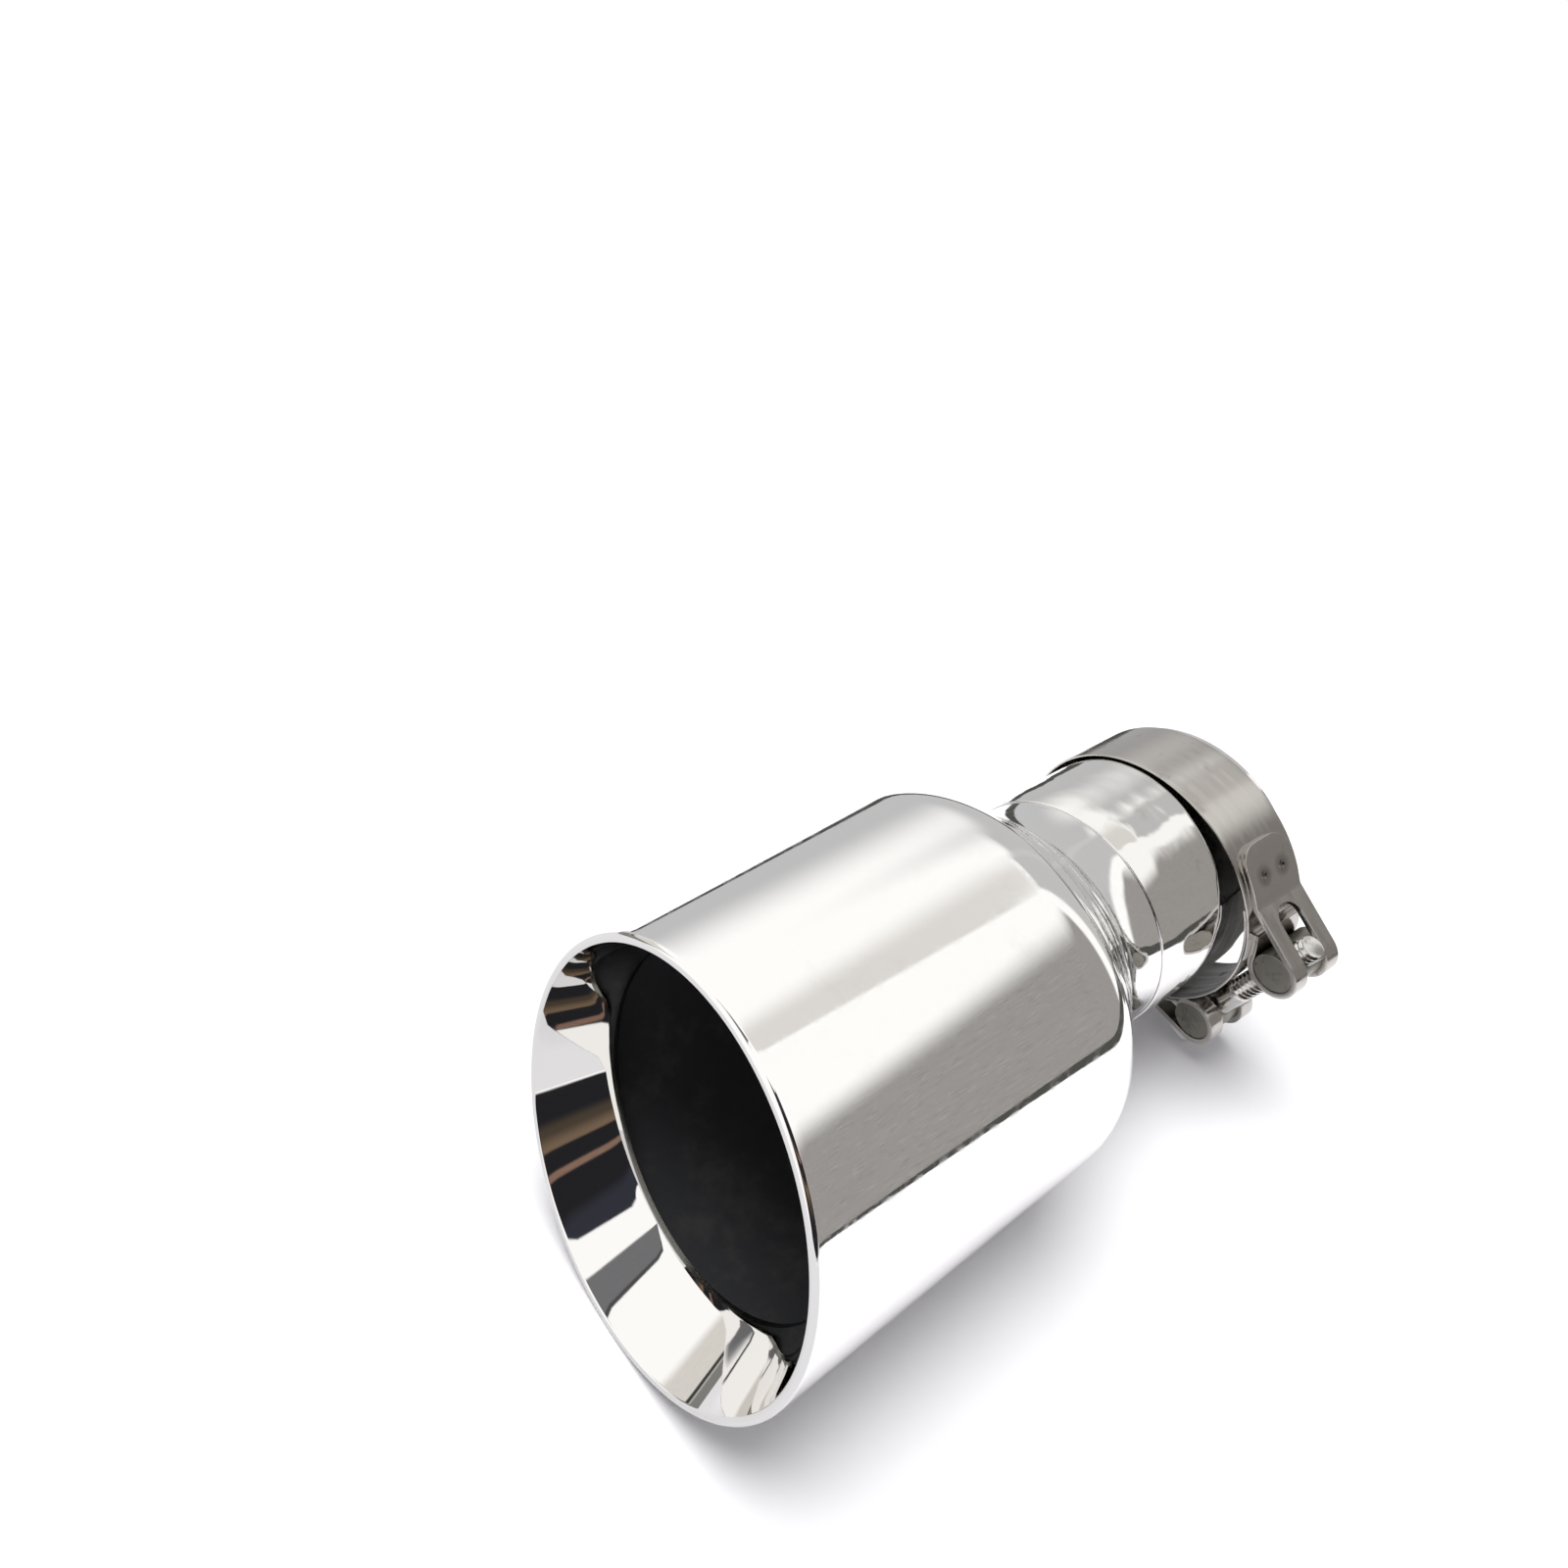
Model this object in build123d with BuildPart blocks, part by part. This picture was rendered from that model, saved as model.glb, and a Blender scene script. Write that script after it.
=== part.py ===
from build123d import *
import os
from math import acos, asin, atan2, cos, degrees, radians, sin, sqrt, tan

# Slant-cut exhaust tip with a double edge, and the loose band clamp on its inlet sleeve.
# Lengths are in millimetres and angles in degrees.
# The tip lies on its side: +X runs along the pipe's axis from inlet to outlet, +Z is up.
# The origin is the centre of the inlet end. Angles round the pipe go from +Y towards +Z.

# Outer shell
outlet_radius = 50.8            # 4 inch outlet
shell_wall = 1.3
axis_length = 195.0             # inlet end to the middle of the slanted rim
rim_slant = 11.6                # lean of the rim away from a square cut
long_side_angle = -75.0         # where the rim's long side points, round the pipe
shoulder_x = 97.0               # corner between the shell's straight barrel and its cone
shoulder_angle = 37.0           # lean of the cone to the pipe's axis
shoulder_round = 18.0
neck_round = 8.0
rim_round = 0.8                 # rounding of the polished rim, on the shell and the liner

# Outlet liner
liner_wall = 1.3
liner_seat = 1.5                # stretch behind the rim that lies on the shell
liner_depth = 18.0              # rim to the crease, along the pipe
liner_taper = 6.7               # how much narrower the crease is than the mouth, on the radius
lip_length = 2.5
lip_turn = 0.3                  # how far the lip turns in, on the radius

# Inlet sleeve
pipe_radius = 31.75             # takes a 2.5 inch pipe
sleeve_wall = 1.5
sleeve_length = 58.5
sleeve_edge_round = 1.0
neck_lap = 10.0                 # how far the shell's neck reaches into the sleeve
neck_step = 0.6                 # how much the sleeve's bore is opened out for the neck
neck_fit = 0.05                 # gap between the neck and the opened bore
slot_count = 4
slot_width = 2.5
slot_length = 20.0
first_slot_angle = 45.0

# Band clamp
band_width = 22.8
band_wall = 1.0
band_inner_radius = 36.6
band_rear_x = 3.0               # rear edge of the band, from the inlet end
seat_gap = 0.05                 # gap where the loose band lies on the sleeve
hang_angle = -50.0              # the way the loose band hangs off centre
cock_angle = 4.5                # the loose band's lean on the sleeve
gap_angle = -24.0               # middle of the clamp's gap
bridge_wall = 0.8
bridge_reach = 24.0             # how far the bridge plate runs on past each barrel

# Loop straps
strap_wall = 1.5
strap_width = 18.5
tongue_reach = 48.0             # end of the tongue, past the barrel
lift_reach = 25.0               # where the strap lifts off the band, past the barrel
lift_round = 3.0
tail_reach = 12.0               # end of the tail under the barrel
tongue_round = 6.0
bolt_slot_margin = 0.8          # room each side of the bolt in the strap's slot
slot_start = 1.5                # first stretch of the straight run, left whole
dent_radius = 1.3               # spot weld dents in the tongue
dent_depth = 0.4
dent_reach = 35.0
dent_offset = 3.8

# Barrels and bolt
barrel_radius = 5.5
barrel_length = 22.6
barrel_spacing = 37.8
barrel_edge = 0.3
barrel_fit = 0.05               # gap between a barrel and its loop
bolt_radius = 3.5
bolt_fit = 0.06                 # running gap between the bolt and the barrels
bolt_reach = 8.6                # threaded end, past the threaded barrel's centre
bolt_end_round = 1.4
head_across_flats = 11.0
head_height = 4.4
head_turn = 0.0
head_stand_off = 8.9            # underside of the head, past the plain barrel's centre
head_edge = 0.4


def round_the_pipe(angle):
    """Unit vector square to the pipe's axis."""
    return Vector(0, cos(radians(angle)), sin(radians(angle)))


def in_ring(radius, angle):
    """Point in the clamp's own plane, with the gap's middle at 0 degrees."""
    return (radius * cos(radians(angle)), radius * sin(radians(angle)))


# Sizes that follow from the ones above
long_side = round_the_pipe(long_side_angle)
rim_normal = Vector(cos(radians(rim_slant)), 0, 0) - long_side * sin(radians(rim_slant))
rim_long_dir = Vector(sin(radians(rim_slant)), 0, 0) + long_side * cos(radians(rim_slant))
rim_stretch = 1 / cos(radians(rim_slant))
blank_end_x = axis_length + 2 * outlet_radius * tan(radians(rim_slant))
mouth_radius = outlet_radius - shell_wall
sleeve_radius = pipe_radius + sleeve_wall
neck_bore = pipe_radius + neck_step
neck_radius = neck_bore - neck_fit
neck_end_x = sleeve_length - neck_lap

band_radius = band_inner_radius + band_wall
strap_middle = band_radius + strap_wall / 2
loop_bore = barrel_radius + barrel_fit
loop_middle = loop_bore + strap_wall / 2
barrel_ring = strap_middle + loop_middle
barrel_y = barrel_spacing / 2
barrel_x = sqrt(barrel_ring**2 - barrel_y**2)
barrel_angle = degrees(asin(barrel_y / barrel_ring))

# The band touches the sleeve at its two edges, where its lean carries it sideways
hang_dir = round_the_pipe(hang_angle)
edge_drift = band_width / 2 * sin(radians(cock_angle))
hang_drop = sqrt((band_inner_radius - sleeve_radius - seat_gap) ** 2 - edge_drift**2)
cock_axis = Axis((0, 0, 0), hang_dir)
clamp_plane = Plane(
    origin=Vector(band_rear_x + band_width / 2, 0, 0) + hang_dir * hang_drop,
    x_dir=round_the_pipe(gap_angle).rotate(cock_axis, cock_angle),
    z_dir=Vector(1, 0, 0).rotate(cock_axis, cock_angle),
)
clamp_mirror = Plane(clamp_plane.origin, x_dir=clamp_plane.x_dir, z_dir=clamp_plane.y_dir)


def sheared(depth):
    """Plane parallel to the slanted rim, at a depth along the pipe."""
    return Plane(origin=(axis_length - depth, 0, 0), x_dir=rim_long_dir, z_dir=rim_normal)


def clamp_slice(width):
    """The clamp's plane, moved to the near side of a piece of this width."""
    return clamp_plane.offset(-width / 2)


def bolt_plane(y):
    """Plane square to the bolt and centred on it, at a place along the bolt."""
    return Plane(
        origin=clamp_plane.from_local_coords((barrel_x, y, 0)),
        x_dir=clamp_plane.z_dir,
        z_dir=clamp_plane.y_dir,
    )


def shell_points(depth):
    """Corners of the shell's section, at a depth under its outer face."""
    neck = neck_radius - depth
    barrel = outlet_radius - depth
    corner_x = shoulder_x + depth * tan(radians(shoulder_angle / 2))
    cone_x = corner_x - (barrel - neck) / tan(radians(shoulder_angle))
    return [(neck_end_x, neck), (cone_x, neck), (corner_x, barrel), (blank_end_x, barrel)]


def open_ring(inner, outer, start, sweep):
    """Part of a ring as wide as the band, in the clamp's plane."""
    with BuildPart() as ring:
        with BuildSketch(clamp_slice(band_width)):
            with BuildLine():
                inside = CenterArc((0, 0), inner, start, sweep)
                outside = CenterArc((0, 0), outer, start, sweep)
                Line(inside @ 0, outside @ 0)
                Line(inside @ 1, outside @ 1)
            make_face()
        extrude(amount=band_width)
    return ring


def build_barrel(y):
    """Cross-drilled rod that fills a loop, at a place along the bolt."""
    with BuildPart() as barrel:
        with BuildSketch(clamp_slice(barrel_length)):
            with Locations((barrel_x, y)):
                Circle(barrel_radius)
        extrude(amount=barrel_length)
        chamfer(edges().filter_by(GeomType.CIRCLE), barrel_edge)
        with BuildSketch(bolt_plane(y)):
            Circle(bolt_radius + bolt_fit)
        extrude(amount=barrel_radius, both=True, mode=Mode.SUBTRACT)
    return barrel


# Outer shell: one spun tube with a straight barrel, a cone and a neck, cut off on the slant
with BuildPart() as outer_shell:
    with BuildSketch(Plane.XY):
        with BuildLine():
            outer_line = FilletPolyline(*shell_points(0), radius=[neck_round, shoulder_round])
            inner_rounds = [neck_round + shell_wall, shoulder_round - shell_wall]
            inner_line = FilletPolyline(*shell_points(shell_wall), radius=inner_rounds)
            Line(outer_line @ 0, inner_line @ 0)
            Line(outer_line @ 1, inner_line @ 1)
        make_face()
    revolve(axis=Axis.X)
    split(bisect_by=sheared(0), keep=Keep.BOTTOM)
    rim_face = faces().filter_by(GeomType.PLANE).sort_by(Axis.X)[-1]
    fillet(rim_face.edges().sort_by(SortBy.LENGTH)[-1], min(rim_round, 0.9 * shell_wall))

# Outlet liner: a short seat at the rim, a bevel down to the crease and a lip, all on the slant
crease_radius = mouth_radius - liner_taper
liner_stations = [
    (liner_seat, mouth_radius),
    (liner_depth, crease_radius),
    (liner_depth + lip_length, crease_radius - lip_turn),
]
with BuildPart() as outlet_liner:
    with BuildSketch(Plane.YZ.offset(shoulder_x)):
        Circle(mouth_radius)
        Circle(mouth_radius - liner_wall, mode=Mode.SUBTRACT)
    extrude(amount=blank_end_x - shoulder_x)
    split(bisect_by=sheared(0), keep=Keep.BOTTOM)
    split(bisect_by=sheared(liner_seat), keep=Keep.TOP)
    for wall, mode in ((0, Mode.ADD), (liner_wall, Mode.SUBTRACT)):
        for depth, radius in liner_stations:
            with BuildSketch(sheared(depth)):
                Ellipse((radius - wall) * rim_stretch, radius - wall)
        loft(ruled=True, mode=mode)
    mouth_face = faces().filter_by(GeomType.PLANE).sort_by(Axis.X)[-1]
    fillet(mouth_face.edges().sort_by(SortBy.LENGTH)[0], min(rim_round, 0.9 * liner_wall))

# Inlet sleeve: a slotted tube that laps over the neck
with BuildPart() as inlet_sleeve:
    with BuildSketch(Plane.YZ):
        Circle(sleeve_radius)
        Circle(pipe_radius, mode=Mode.SUBTRACT)
    extrude(amount=sleeve_length)
    with BuildSketch(Plane.YZ.offset(neck_end_x)):
        Circle(neck_bore)
    extrude(amount=neck_lap, mode=Mode.SUBTRACT)
    step_edges = edges().filter_by(GeomType.CIRCLE).group_by(Axis.X)[-1]
    lap_wall = sleeve_radius - neck_bore
    fillet(step_edges.sort_by(SortBy.LENGTH)[-1], min(sleeve_edge_round, 0.9 * lap_wall))
    for turn in range(slot_count):
        outward = round_the_pipe(first_slot_angle + turn * 360 / slot_count)
        with BuildSketch(Plane(origin=(0, 0, 0), x_dir=(1, 0, 0), z_dir=outward)):
            SlotCenterToCenter(2 * slot_length - slot_width, slot_width)
        extrude(amount=2 * sleeve_radius, mode=Mode.SUBTRACT)

# Clamp band, whose ends lie under the barrels, and the bridge plate inside it across its gap
bridge_end = barrel_angle + bridge_reach
clamp_band = open_ring(band_inner_radius, band_radius, barrel_angle, 360 - 2 * barrel_angle)
bridge_plate = open_ring(
    band_inner_radius - bridge_wall, band_inner_radius, -bridge_end, 2 * bridge_end
)

# Loop strap: a tongue on the band, a straight run, a loop round the barrel and a short tail
tongue_angle = barrel_angle + tongue_reach
lift_angle = barrel_angle + lift_reach
lift_centre = Vector(*in_ring(strap_middle + lift_round, lift_angle))
barrel_centre = Vector(barrel_x, barrel_y)
centre_line = barrel_centre - lift_centre
run_lean = degrees(asin((lift_round + loop_middle) / centre_line.length))
run_angle = degrees(atan2(centre_line.Y, centre_line.X)) + run_lean
run_dir = Vector(*in_ring(1, run_angle))
run_normal = Vector(*in_ring(1, run_angle + 90))
run_start = lift_centre - run_normal * lift_round
run_end = barrel_centre + run_normal * loop_middle
lift_turn = run_angle - (lift_angle - 90)
loop_turn = run_angle + 270 - barrel_angle
bolt_slot_half = bolt_radius + bolt_slot_margin
bolt_slot_turn = run_angle + 270 - degrees(acos(bolt_slot_half / loop_bore))

with BuildPart() as threaded_side_strap:
    with BuildSketch(clamp_slice(strap_width)):
        with BuildLine():
            tongue = JernArc(
                in_ring(strap_middle, tongue_angle),
                in_ring(1, tongue_angle - 90),
                strap_middle,
                lift_angle - tongue_angle,
            )
            lift = JernArc(tongue @ 1, tongue % 1, lift_round, lift_turn)
            run = Line(lift @ 1, run_end)
            loop = JernArc(run @ 1, run % 1, loop_middle, -loop_turn)
            JernArc(loop @ 1, loop % 1, strap_middle, tail_reach)
        trace(line_width=strap_wall)
    extrude(amount=strap_width)
    tongue_end = clamp_plane.from_local_coords(in_ring(strap_middle, tongue_angle))
    end_face = faces().sort_by_distance(tongue_end)[0]
    fillet(end_face.edges().sort_by(SortBy.LENGTH)[:2], min(tongue_round, 0.45 * strap_width))
    with BuildSketch(clamp_slice(2 * bolt_slot_half)):
        with BuildLine():
            slotted_run = Line(run_start + run_dir * slot_start, run_end)
            JernArc(slotted_run @ 1, slotted_run % 1, loop_middle, -bolt_slot_turn)
        trace(line_width=2 * strap_wall)
    extrude(amount=2 * bolt_slot_half, mode=Mode.SUBTRACT)
    dent_ball = (dent_radius**2 + dent_depth**2) / (2 * dent_depth)
    dent_ring = band_radius + strap_wall + dent_ball - dent_depth
    dent_x, dent_y = in_ring(dent_ring, barrel_angle + dent_reach)
    for side in (-dent_offset, dent_offset):
        with Locations(clamp_plane.from_local_coords((dent_x, dent_y, side))):
            Sphere(dent_ball, mode=Mode.SUBTRACT)

with BuildPart() as plain_side_strap:
    mirror(threaded_side_strap.part, about=clamp_mirror)


threaded_barrel = build_barrel(barrel_y)
plain_barrel = build_barrel(-barrel_y)

# Clamp bolt: a hexagon head beyond the plain barrel, and a shank through both barrels
head_y = -barrel_y - head_stand_off
bolt_axis = Axis(bolt_plane(head_y).origin, clamp_plane.y_dir)
with BuildPart() as clamp_bolt:
    with BuildSketch(bolt_plane(head_y)):
        Circle(bolt_radius)
    extrude(amount=barrel_y + bolt_reach - head_y)
    tip_edge = edges().filter_by(GeomType.CIRCLE).sort_by(bolt_axis)[-1]
    fillet(tip_edge, min(bolt_end_round, 0.9 * bolt_radius))
    with BuildSketch(bolt_plane(head_y)):
        RegularPolygon(head_across_flats / 2, 6, major_radius=False, rotation=head_turn)
    extrude(amount=-head_height)
    end_face = faces().sort_by(bolt_axis)[0]
    chamfer(end_face.edges(), head_edge)

pieces = {
    "outer_shell": outer_shell,
    "outlet_liner": outlet_liner,
    "inlet_sleeve": inlet_sleeve,
    "clamp_band": clamp_band,
    "bridge_plate": bridge_plate,
    "threaded_side_strap": threaded_side_strap,
    "plain_side_strap": plain_side_strap,
    "threaded_barrel": threaded_barrel,
    "plain_barrel": plain_barrel,
    "clamp_bolt": clamp_bolt,
}

os.makedirs("parts", exist_ok=True)
for name, piece in pieces.items():
    piece.part.label = name
    export_step(piece.part, f"parts/{name}.step")
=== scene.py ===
"""Looks of a slant-cut exhaust tip and its loose band clamp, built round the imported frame.

Lengths are in metres and angles in degrees. The tip lies along +X, from the inlet end at the
origin to the slanted outlet, and +Z is up.
"""

from __future__ import annotations

import logging
from dataclasses import dataclass, field
from enum import Enum
from functools import reduce
from math import acos, asin, atan2, ceil, cos, degrees, hypot, pi, radians, sin, sqrt, tan, tau
from typing import Callable, Sequence

import bmesh
import bpy
from mathutils import Matrix, Vector


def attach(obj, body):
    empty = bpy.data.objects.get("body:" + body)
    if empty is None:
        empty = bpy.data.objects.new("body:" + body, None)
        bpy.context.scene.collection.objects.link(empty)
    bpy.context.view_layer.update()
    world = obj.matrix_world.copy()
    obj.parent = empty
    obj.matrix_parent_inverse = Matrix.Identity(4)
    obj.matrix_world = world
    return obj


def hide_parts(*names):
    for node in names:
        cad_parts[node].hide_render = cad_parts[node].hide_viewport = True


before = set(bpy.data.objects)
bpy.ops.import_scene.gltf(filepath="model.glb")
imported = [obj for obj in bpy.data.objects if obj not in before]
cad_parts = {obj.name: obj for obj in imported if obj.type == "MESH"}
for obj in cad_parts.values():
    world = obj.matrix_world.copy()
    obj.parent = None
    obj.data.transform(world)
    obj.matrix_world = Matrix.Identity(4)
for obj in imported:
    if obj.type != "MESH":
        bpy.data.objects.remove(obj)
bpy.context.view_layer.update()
TIP_BODY = "tip_and_clamp"
BOLT_BODY = "bolt"
MM = 0.001
WELD_DISTANCE = 1e-6
X_WAY = Vector((1.0, 0.0, 0.0))
FLOAT, INTEGER, VECTOR = "NodeSocketFloat", "NodeSocketInt", "NodeSocketVector"
GEOMETRY, MATERIAL, OBJECT = "NodeSocketGeometry", "NodeSocketMaterial", "NodeSocketObject"

Socket = bpy.types.NodeSocket
Object = bpy.types.Object
Material = bpy.types.Material
Triple = tuple[float, float, float]
Colour = Triple

log = logging.getLogger("exhaust_tip")


class Slot(Enum):
    """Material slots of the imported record."""

    POLISHED = "polished_steel"
    LINER = "liner_steel"
    SLEEVE = "sleeve_steel"
    CLAMP = "clamp_steel"
    BARREL = "barrel_steel"
    BOLT = "bolt_steel"


def polar(radius: float, angle: float) -> Vector:
    """Point of a flat ring at an angle in degrees."""
    return Vector((radius * cos(radians(angle)), radius * sin(radians(angle))))


def round_the_pipe(angle: float) -> Vector:
    """Unit vector square to the pipe's axis, at an angle from +Y towards +Z."""
    return Vector((0.0, cos(radians(angle)), sin(radians(angle))))


class NodeSheet:
    """Adds nodes to one tree and joins them."""

    def __init__(self, tree: bpy.types.NodeTree) -> None:
        """Works on an existing tree."""
        self.tree = tree

    def add(self, kind: str, inputs: dict | None = None, **settings: object) -> bpy.types.Node:
        """Adds a node.

        Args:
            kind: The node's type name.
            inputs: Values or sockets by input name or number.
            settings: Properties of the node, set before its inputs.

        Returns:
            The new node.
        """
        node = self.tree.nodes.new(kind)
        for name, value in settings.items():
            setattr(node, name, value)
        for name, value in (inputs or {}).items():
            self.feed(node.inputs[name], value)
        return node

    def out(self, kind: str, inputs: dict | None = None, **settings: object) -> Socket:
        """First output of a new node."""
        return self.add(kind, inputs, **settings).outputs[0]

    def feed(self, socket: Socket, value: object) -> None:
        """Links a socket into an input, or sets the input to a value.

        Args:
            socket: The input.
            value: A socket, a number, a vector, or a colour with or without its alpha.
        """
        if isinstance(value, Socket):
            self.tree.links.new(value, socket)
        elif socket.type == "RGBA" and len(value) == 3:
            socket.default_value = (*value, 1.0)
        else:
            socket.default_value = value

    def math(self, operation: str, *values: object) -> Socket:
        """Result of a Math node on these values."""
        return self.out("ShaderNodeMath", dict(enumerate(values)), operation=operation)

    def total(self, *values: object) -> Socket:
        """Sum of two or more numbers."""
        return reduce(lambda first, second: self.math("ADD", first, second), values)

    def product(self, *values: object) -> Socket:
        """Product of two or more numbers."""
        return reduce(lambda first, second: self.math("MULTIPLY", first, second), values)

    def less(self, first: object, second: object) -> Socket:
        """First number less the second."""
        return self.math("SUBTRACT", first, second)

    def vector(self, operation: str, *values: object) -> Socket:
        """Result of a Vector Math node, which is a number for a dot product."""
        node = self.add("ShaderNodeVectorMath", dict(enumerate(values)), operation=operation)
        return node.outputs["Value" if operation == "DOT_PRODUCT" else "Vector"]

    def scaled(self, vector: object, factor: object) -> Socket:
        """A vector times a number."""
        inputs = {"Vector": vector, "Scale": factor}
        return self.out("ShaderNodeVectorMath", inputs, operation="SCALE")

    def combine(self, x: object, y: object, z: object) -> Socket:
        """A vector from three numbers."""
        return self.out("ShaderNodeCombineXYZ", {0: x, 1: y, 2: z})

    def separate(self, vector: object) -> list[Socket]:
        """The three numbers of a vector."""
        return list(self.add("ShaderNodeSeparateXYZ", {0: vector}).outputs)

    def ramp(self, value: object, low: object, high: object, start: object = 0.0,
             end: object = 1.0, smooth: bool = True) -> Socket:
        """Maps a range of a value to another range, clamped.

        Args:
            value: The number to map.
            low: Where the range starts.
            high: Where the range ends.
            start: Result at low.
            end: Result at high.
            smooth: Whether the change eases in and out.

        Returns:
            The mapped number.
        """
        inputs = {"Value": value, 1: low, 2: high, 3: start, 4: end}
        kind = "SMOOTHSTEP" if smooth else "LINEAR"
        return self.out("ShaderNodeMapRange", inputs, interpolation_type=kind)

    def mix_colour(self, share: object, first: object, second: object) -> Socket:
        """A mix of two colours."""
        inputs = {0: share, 6: first, 7: second}
        return self.add("ShaderNodeMix", inputs, data_type="RGBA").outputs[2]

    def mix_shader(self, share: object, first: Socket, second: Socket) -> Socket:
        """A mix of two shaders."""
        return self.out("ShaderNodeMixShader", {0: share, 1: first, 2: second})

    def noise(self, vector: object, scale: object, detail: float, roughness: float) -> Socket:
        """Value of a noise texture."""
        inputs = {"Vector": vector, "Scale": scale, "Detail": detail, "Roughness": roughness}
        return self.add("ShaderNodeTexNoise", inputs).outputs["Fac"]

    def chain(self, geometry: Socket, *steps: tuple[str, dict]) -> Socket:
        """Passes a geometry through several nodes.

        Args:
            geometry: The geometry to start from.
            steps: Each node's kind, without its prefix, and its other inputs.

        Returns:
            The last node's geometry.
        """
        for kind, inputs in steps:
            geometry = self.out("GeometryNode" + kind, {"Geometry": geometry, **inputs})
        return geometry


def new_group(name: str, kind: str, inputs: Sequence[tuple], outputs: Sequence[tuple]) -> tuple:
    """Makes a node group with named sockets.

    Args:
        name: Name of the group.
        kind: Type of the tree.
        inputs: Name, socket type and default value of each input.
        outputs: Name and socket type of each output.

    Returns:
        The tree, a sheet to build on, the given sockets and the group's output node.
    """
    tree = bpy.data.node_groups.new(name, kind)
    for socket_name, socket_type, default in inputs:
        socket = tree.interface.new_socket(socket_name, in_out="INPUT", socket_type=socket_type)
        if default is not None:
            socket.default_value = default
    for socket_name, socket_type in outputs:
        tree.interface.new_socket(socket_name, in_out="OUTPUT", socket_type=socket_type)
    sheet = NodeSheet(tree)
    return tree, sheet, sheet.add("NodeGroupInput").outputs, sheet.add("NodeGroupOutput")


def new_material(name: str) -> tuple[Material, NodeSheet]:
    """Makes an empty node material.

    Args:
        name: Name of the material.

    Returns:
        The material and a sheet to build it on.
    """
    made = bpy.data.materials.new(name)
    made.use_nodes = True
    made.node_tree.nodes.clear()
    return made, NodeSheet(made.node_tree)


def linked(name: str, data: bpy.types.ID) -> Object:
    """Makes an object in the scene.

    Args:
        name: Name of the object.
        data: Its mesh, curve, light or camera.

    Returns:
        The object.
    """
    made = bpy.data.objects.new(name, data)
    bpy.context.scene.collection.objects.link(made)
    return made


def drawn(name: str, shape: bmesh.types.BMesh) -> Object:
    """Turns a shape that was built in memory into an object, and frees it.

    Args:
        name: Name of the object.
        shape: The shape.

    Returns:
        The object.
    """
    mesh = bpy.data.meshes.new(name)
    shape.to_mesh(mesh)
    shape.free()
    return linked(name, mesh)


def baked(obj: Object, name: str) -> Object:
    """Turns an object's evaluated shape into a plain mesh object and removes the first one.

    Args:
        obj: The object with its live modifiers.
        name: Name of the new object.

    Returns:
        The plain object.
    """
    bpy.context.view_layer.update()
    graph = bpy.context.evaluated_depsgraph_get()
    mesh = bpy.data.meshes.new_from_object(obj.evaluated_get(graph), depsgraph=graph)
    bpy.data.objects.remove(obj)
    mesh.name = name
    return linked(name, mesh)


def tidy_mesh(obj: Object, crease_angle: float, fill_ends: bool = False) -> None:
    """Closes and smooths a mesh, with its faces outwards and its creases sharp.

    Args:
        obj: The mesh object.
        crease_angle: Turn between two faces from which their edge is sharp.
        fill_ends: Whether open ends get a cap.
    """
    shape = bmesh.new()
    shape.from_mesh(obj.data)
    bmesh.ops.remove_doubles(shape, verts=shape.verts, dist=WELD_DISTANCE)
    if fill_ends:
        open_edges = [edge for edge in shape.edges if edge.is_boundary]
        bmesh.ops.holes_fill(shape, edges=open_edges, sides=0)
    bmesh.ops.recalc_face_normals(shape, faces=shape.faces)
    for face in shape.faces:
        face.smooth = True
    shape.to_mesh(obj.data)
    shape.free()
    obj.data.set_sharp_from_angle(angle=radians(crease_angle))


def cut_away(obj: Object, cutter: Object) -> Object:
    """Cuts a closed shape out of an object, and removes the cutter.

    Args:
        obj: The object to cut.
        cutter: The shape that is taken away.

    Returns:
        The cut object, under the same name.
    """
    name = obj.name
    modifier = obj.modifiers.new("cut", "BOOLEAN")
    modifier.operation = "DIFFERENCE"
    modifier.solver = "EXACT"
    modifier.object = cutter
    obj.name = name + ".uncut"
    made = baked(obj, name)
    bpy.data.objects.remove(cutter)
    return made


def move_mesh(obj: Object, matrix: Matrix) -> None:
    """Moves the vertices, so that the object itself stays at the origin."""
    obj.data.transform(matrix)
    obj.data.update()


def loft(shape: bmesh.types.BMesh, rings: Sequence[Sequence[Vector]]) -> None:
    """Adds a closed shape that runs through several rings of points.

    Args:
        shape: The shape to add to.
        rings: Rings of as many points each, from one end to the other.
    """
    made = [[shape.verts.new(point) for point in ring] for ring in rings]
    for low, high in zip(made, made[1:]):
        for number in range(len(low)):
            after = (number + 1) % len(low)
            shape.faces.new((low[number], low[after], high[after], high[number]))
    shape.faces.new(made[0])
    shape.faces.new(made[-1])


def place(obj: Object, body: str, slot: Slot, *nodes: str) -> None:
    """Lets a finished piece ride on its body and stand for its CAD nodes.

    Args:
        obj: The piece.
        body: The body that it rides on.
        slot: The record's slot for its finish; not used.
        nodes: The CAD nodes that it replaces.
    """
    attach(obj, body)
    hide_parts(*nodes)
    log.info("%s: %d faces, stands for %s", obj.name, len(obj.data.polygons), ", ".join(nodes))


@dataclass(frozen=True)
class Corner:
    """Corner of a piece's section: place along the axis, radius, rounding and slant share."""

    along: float
    radius: float
    rounding: float = 0.0
    slant: float = 0.0


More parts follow.
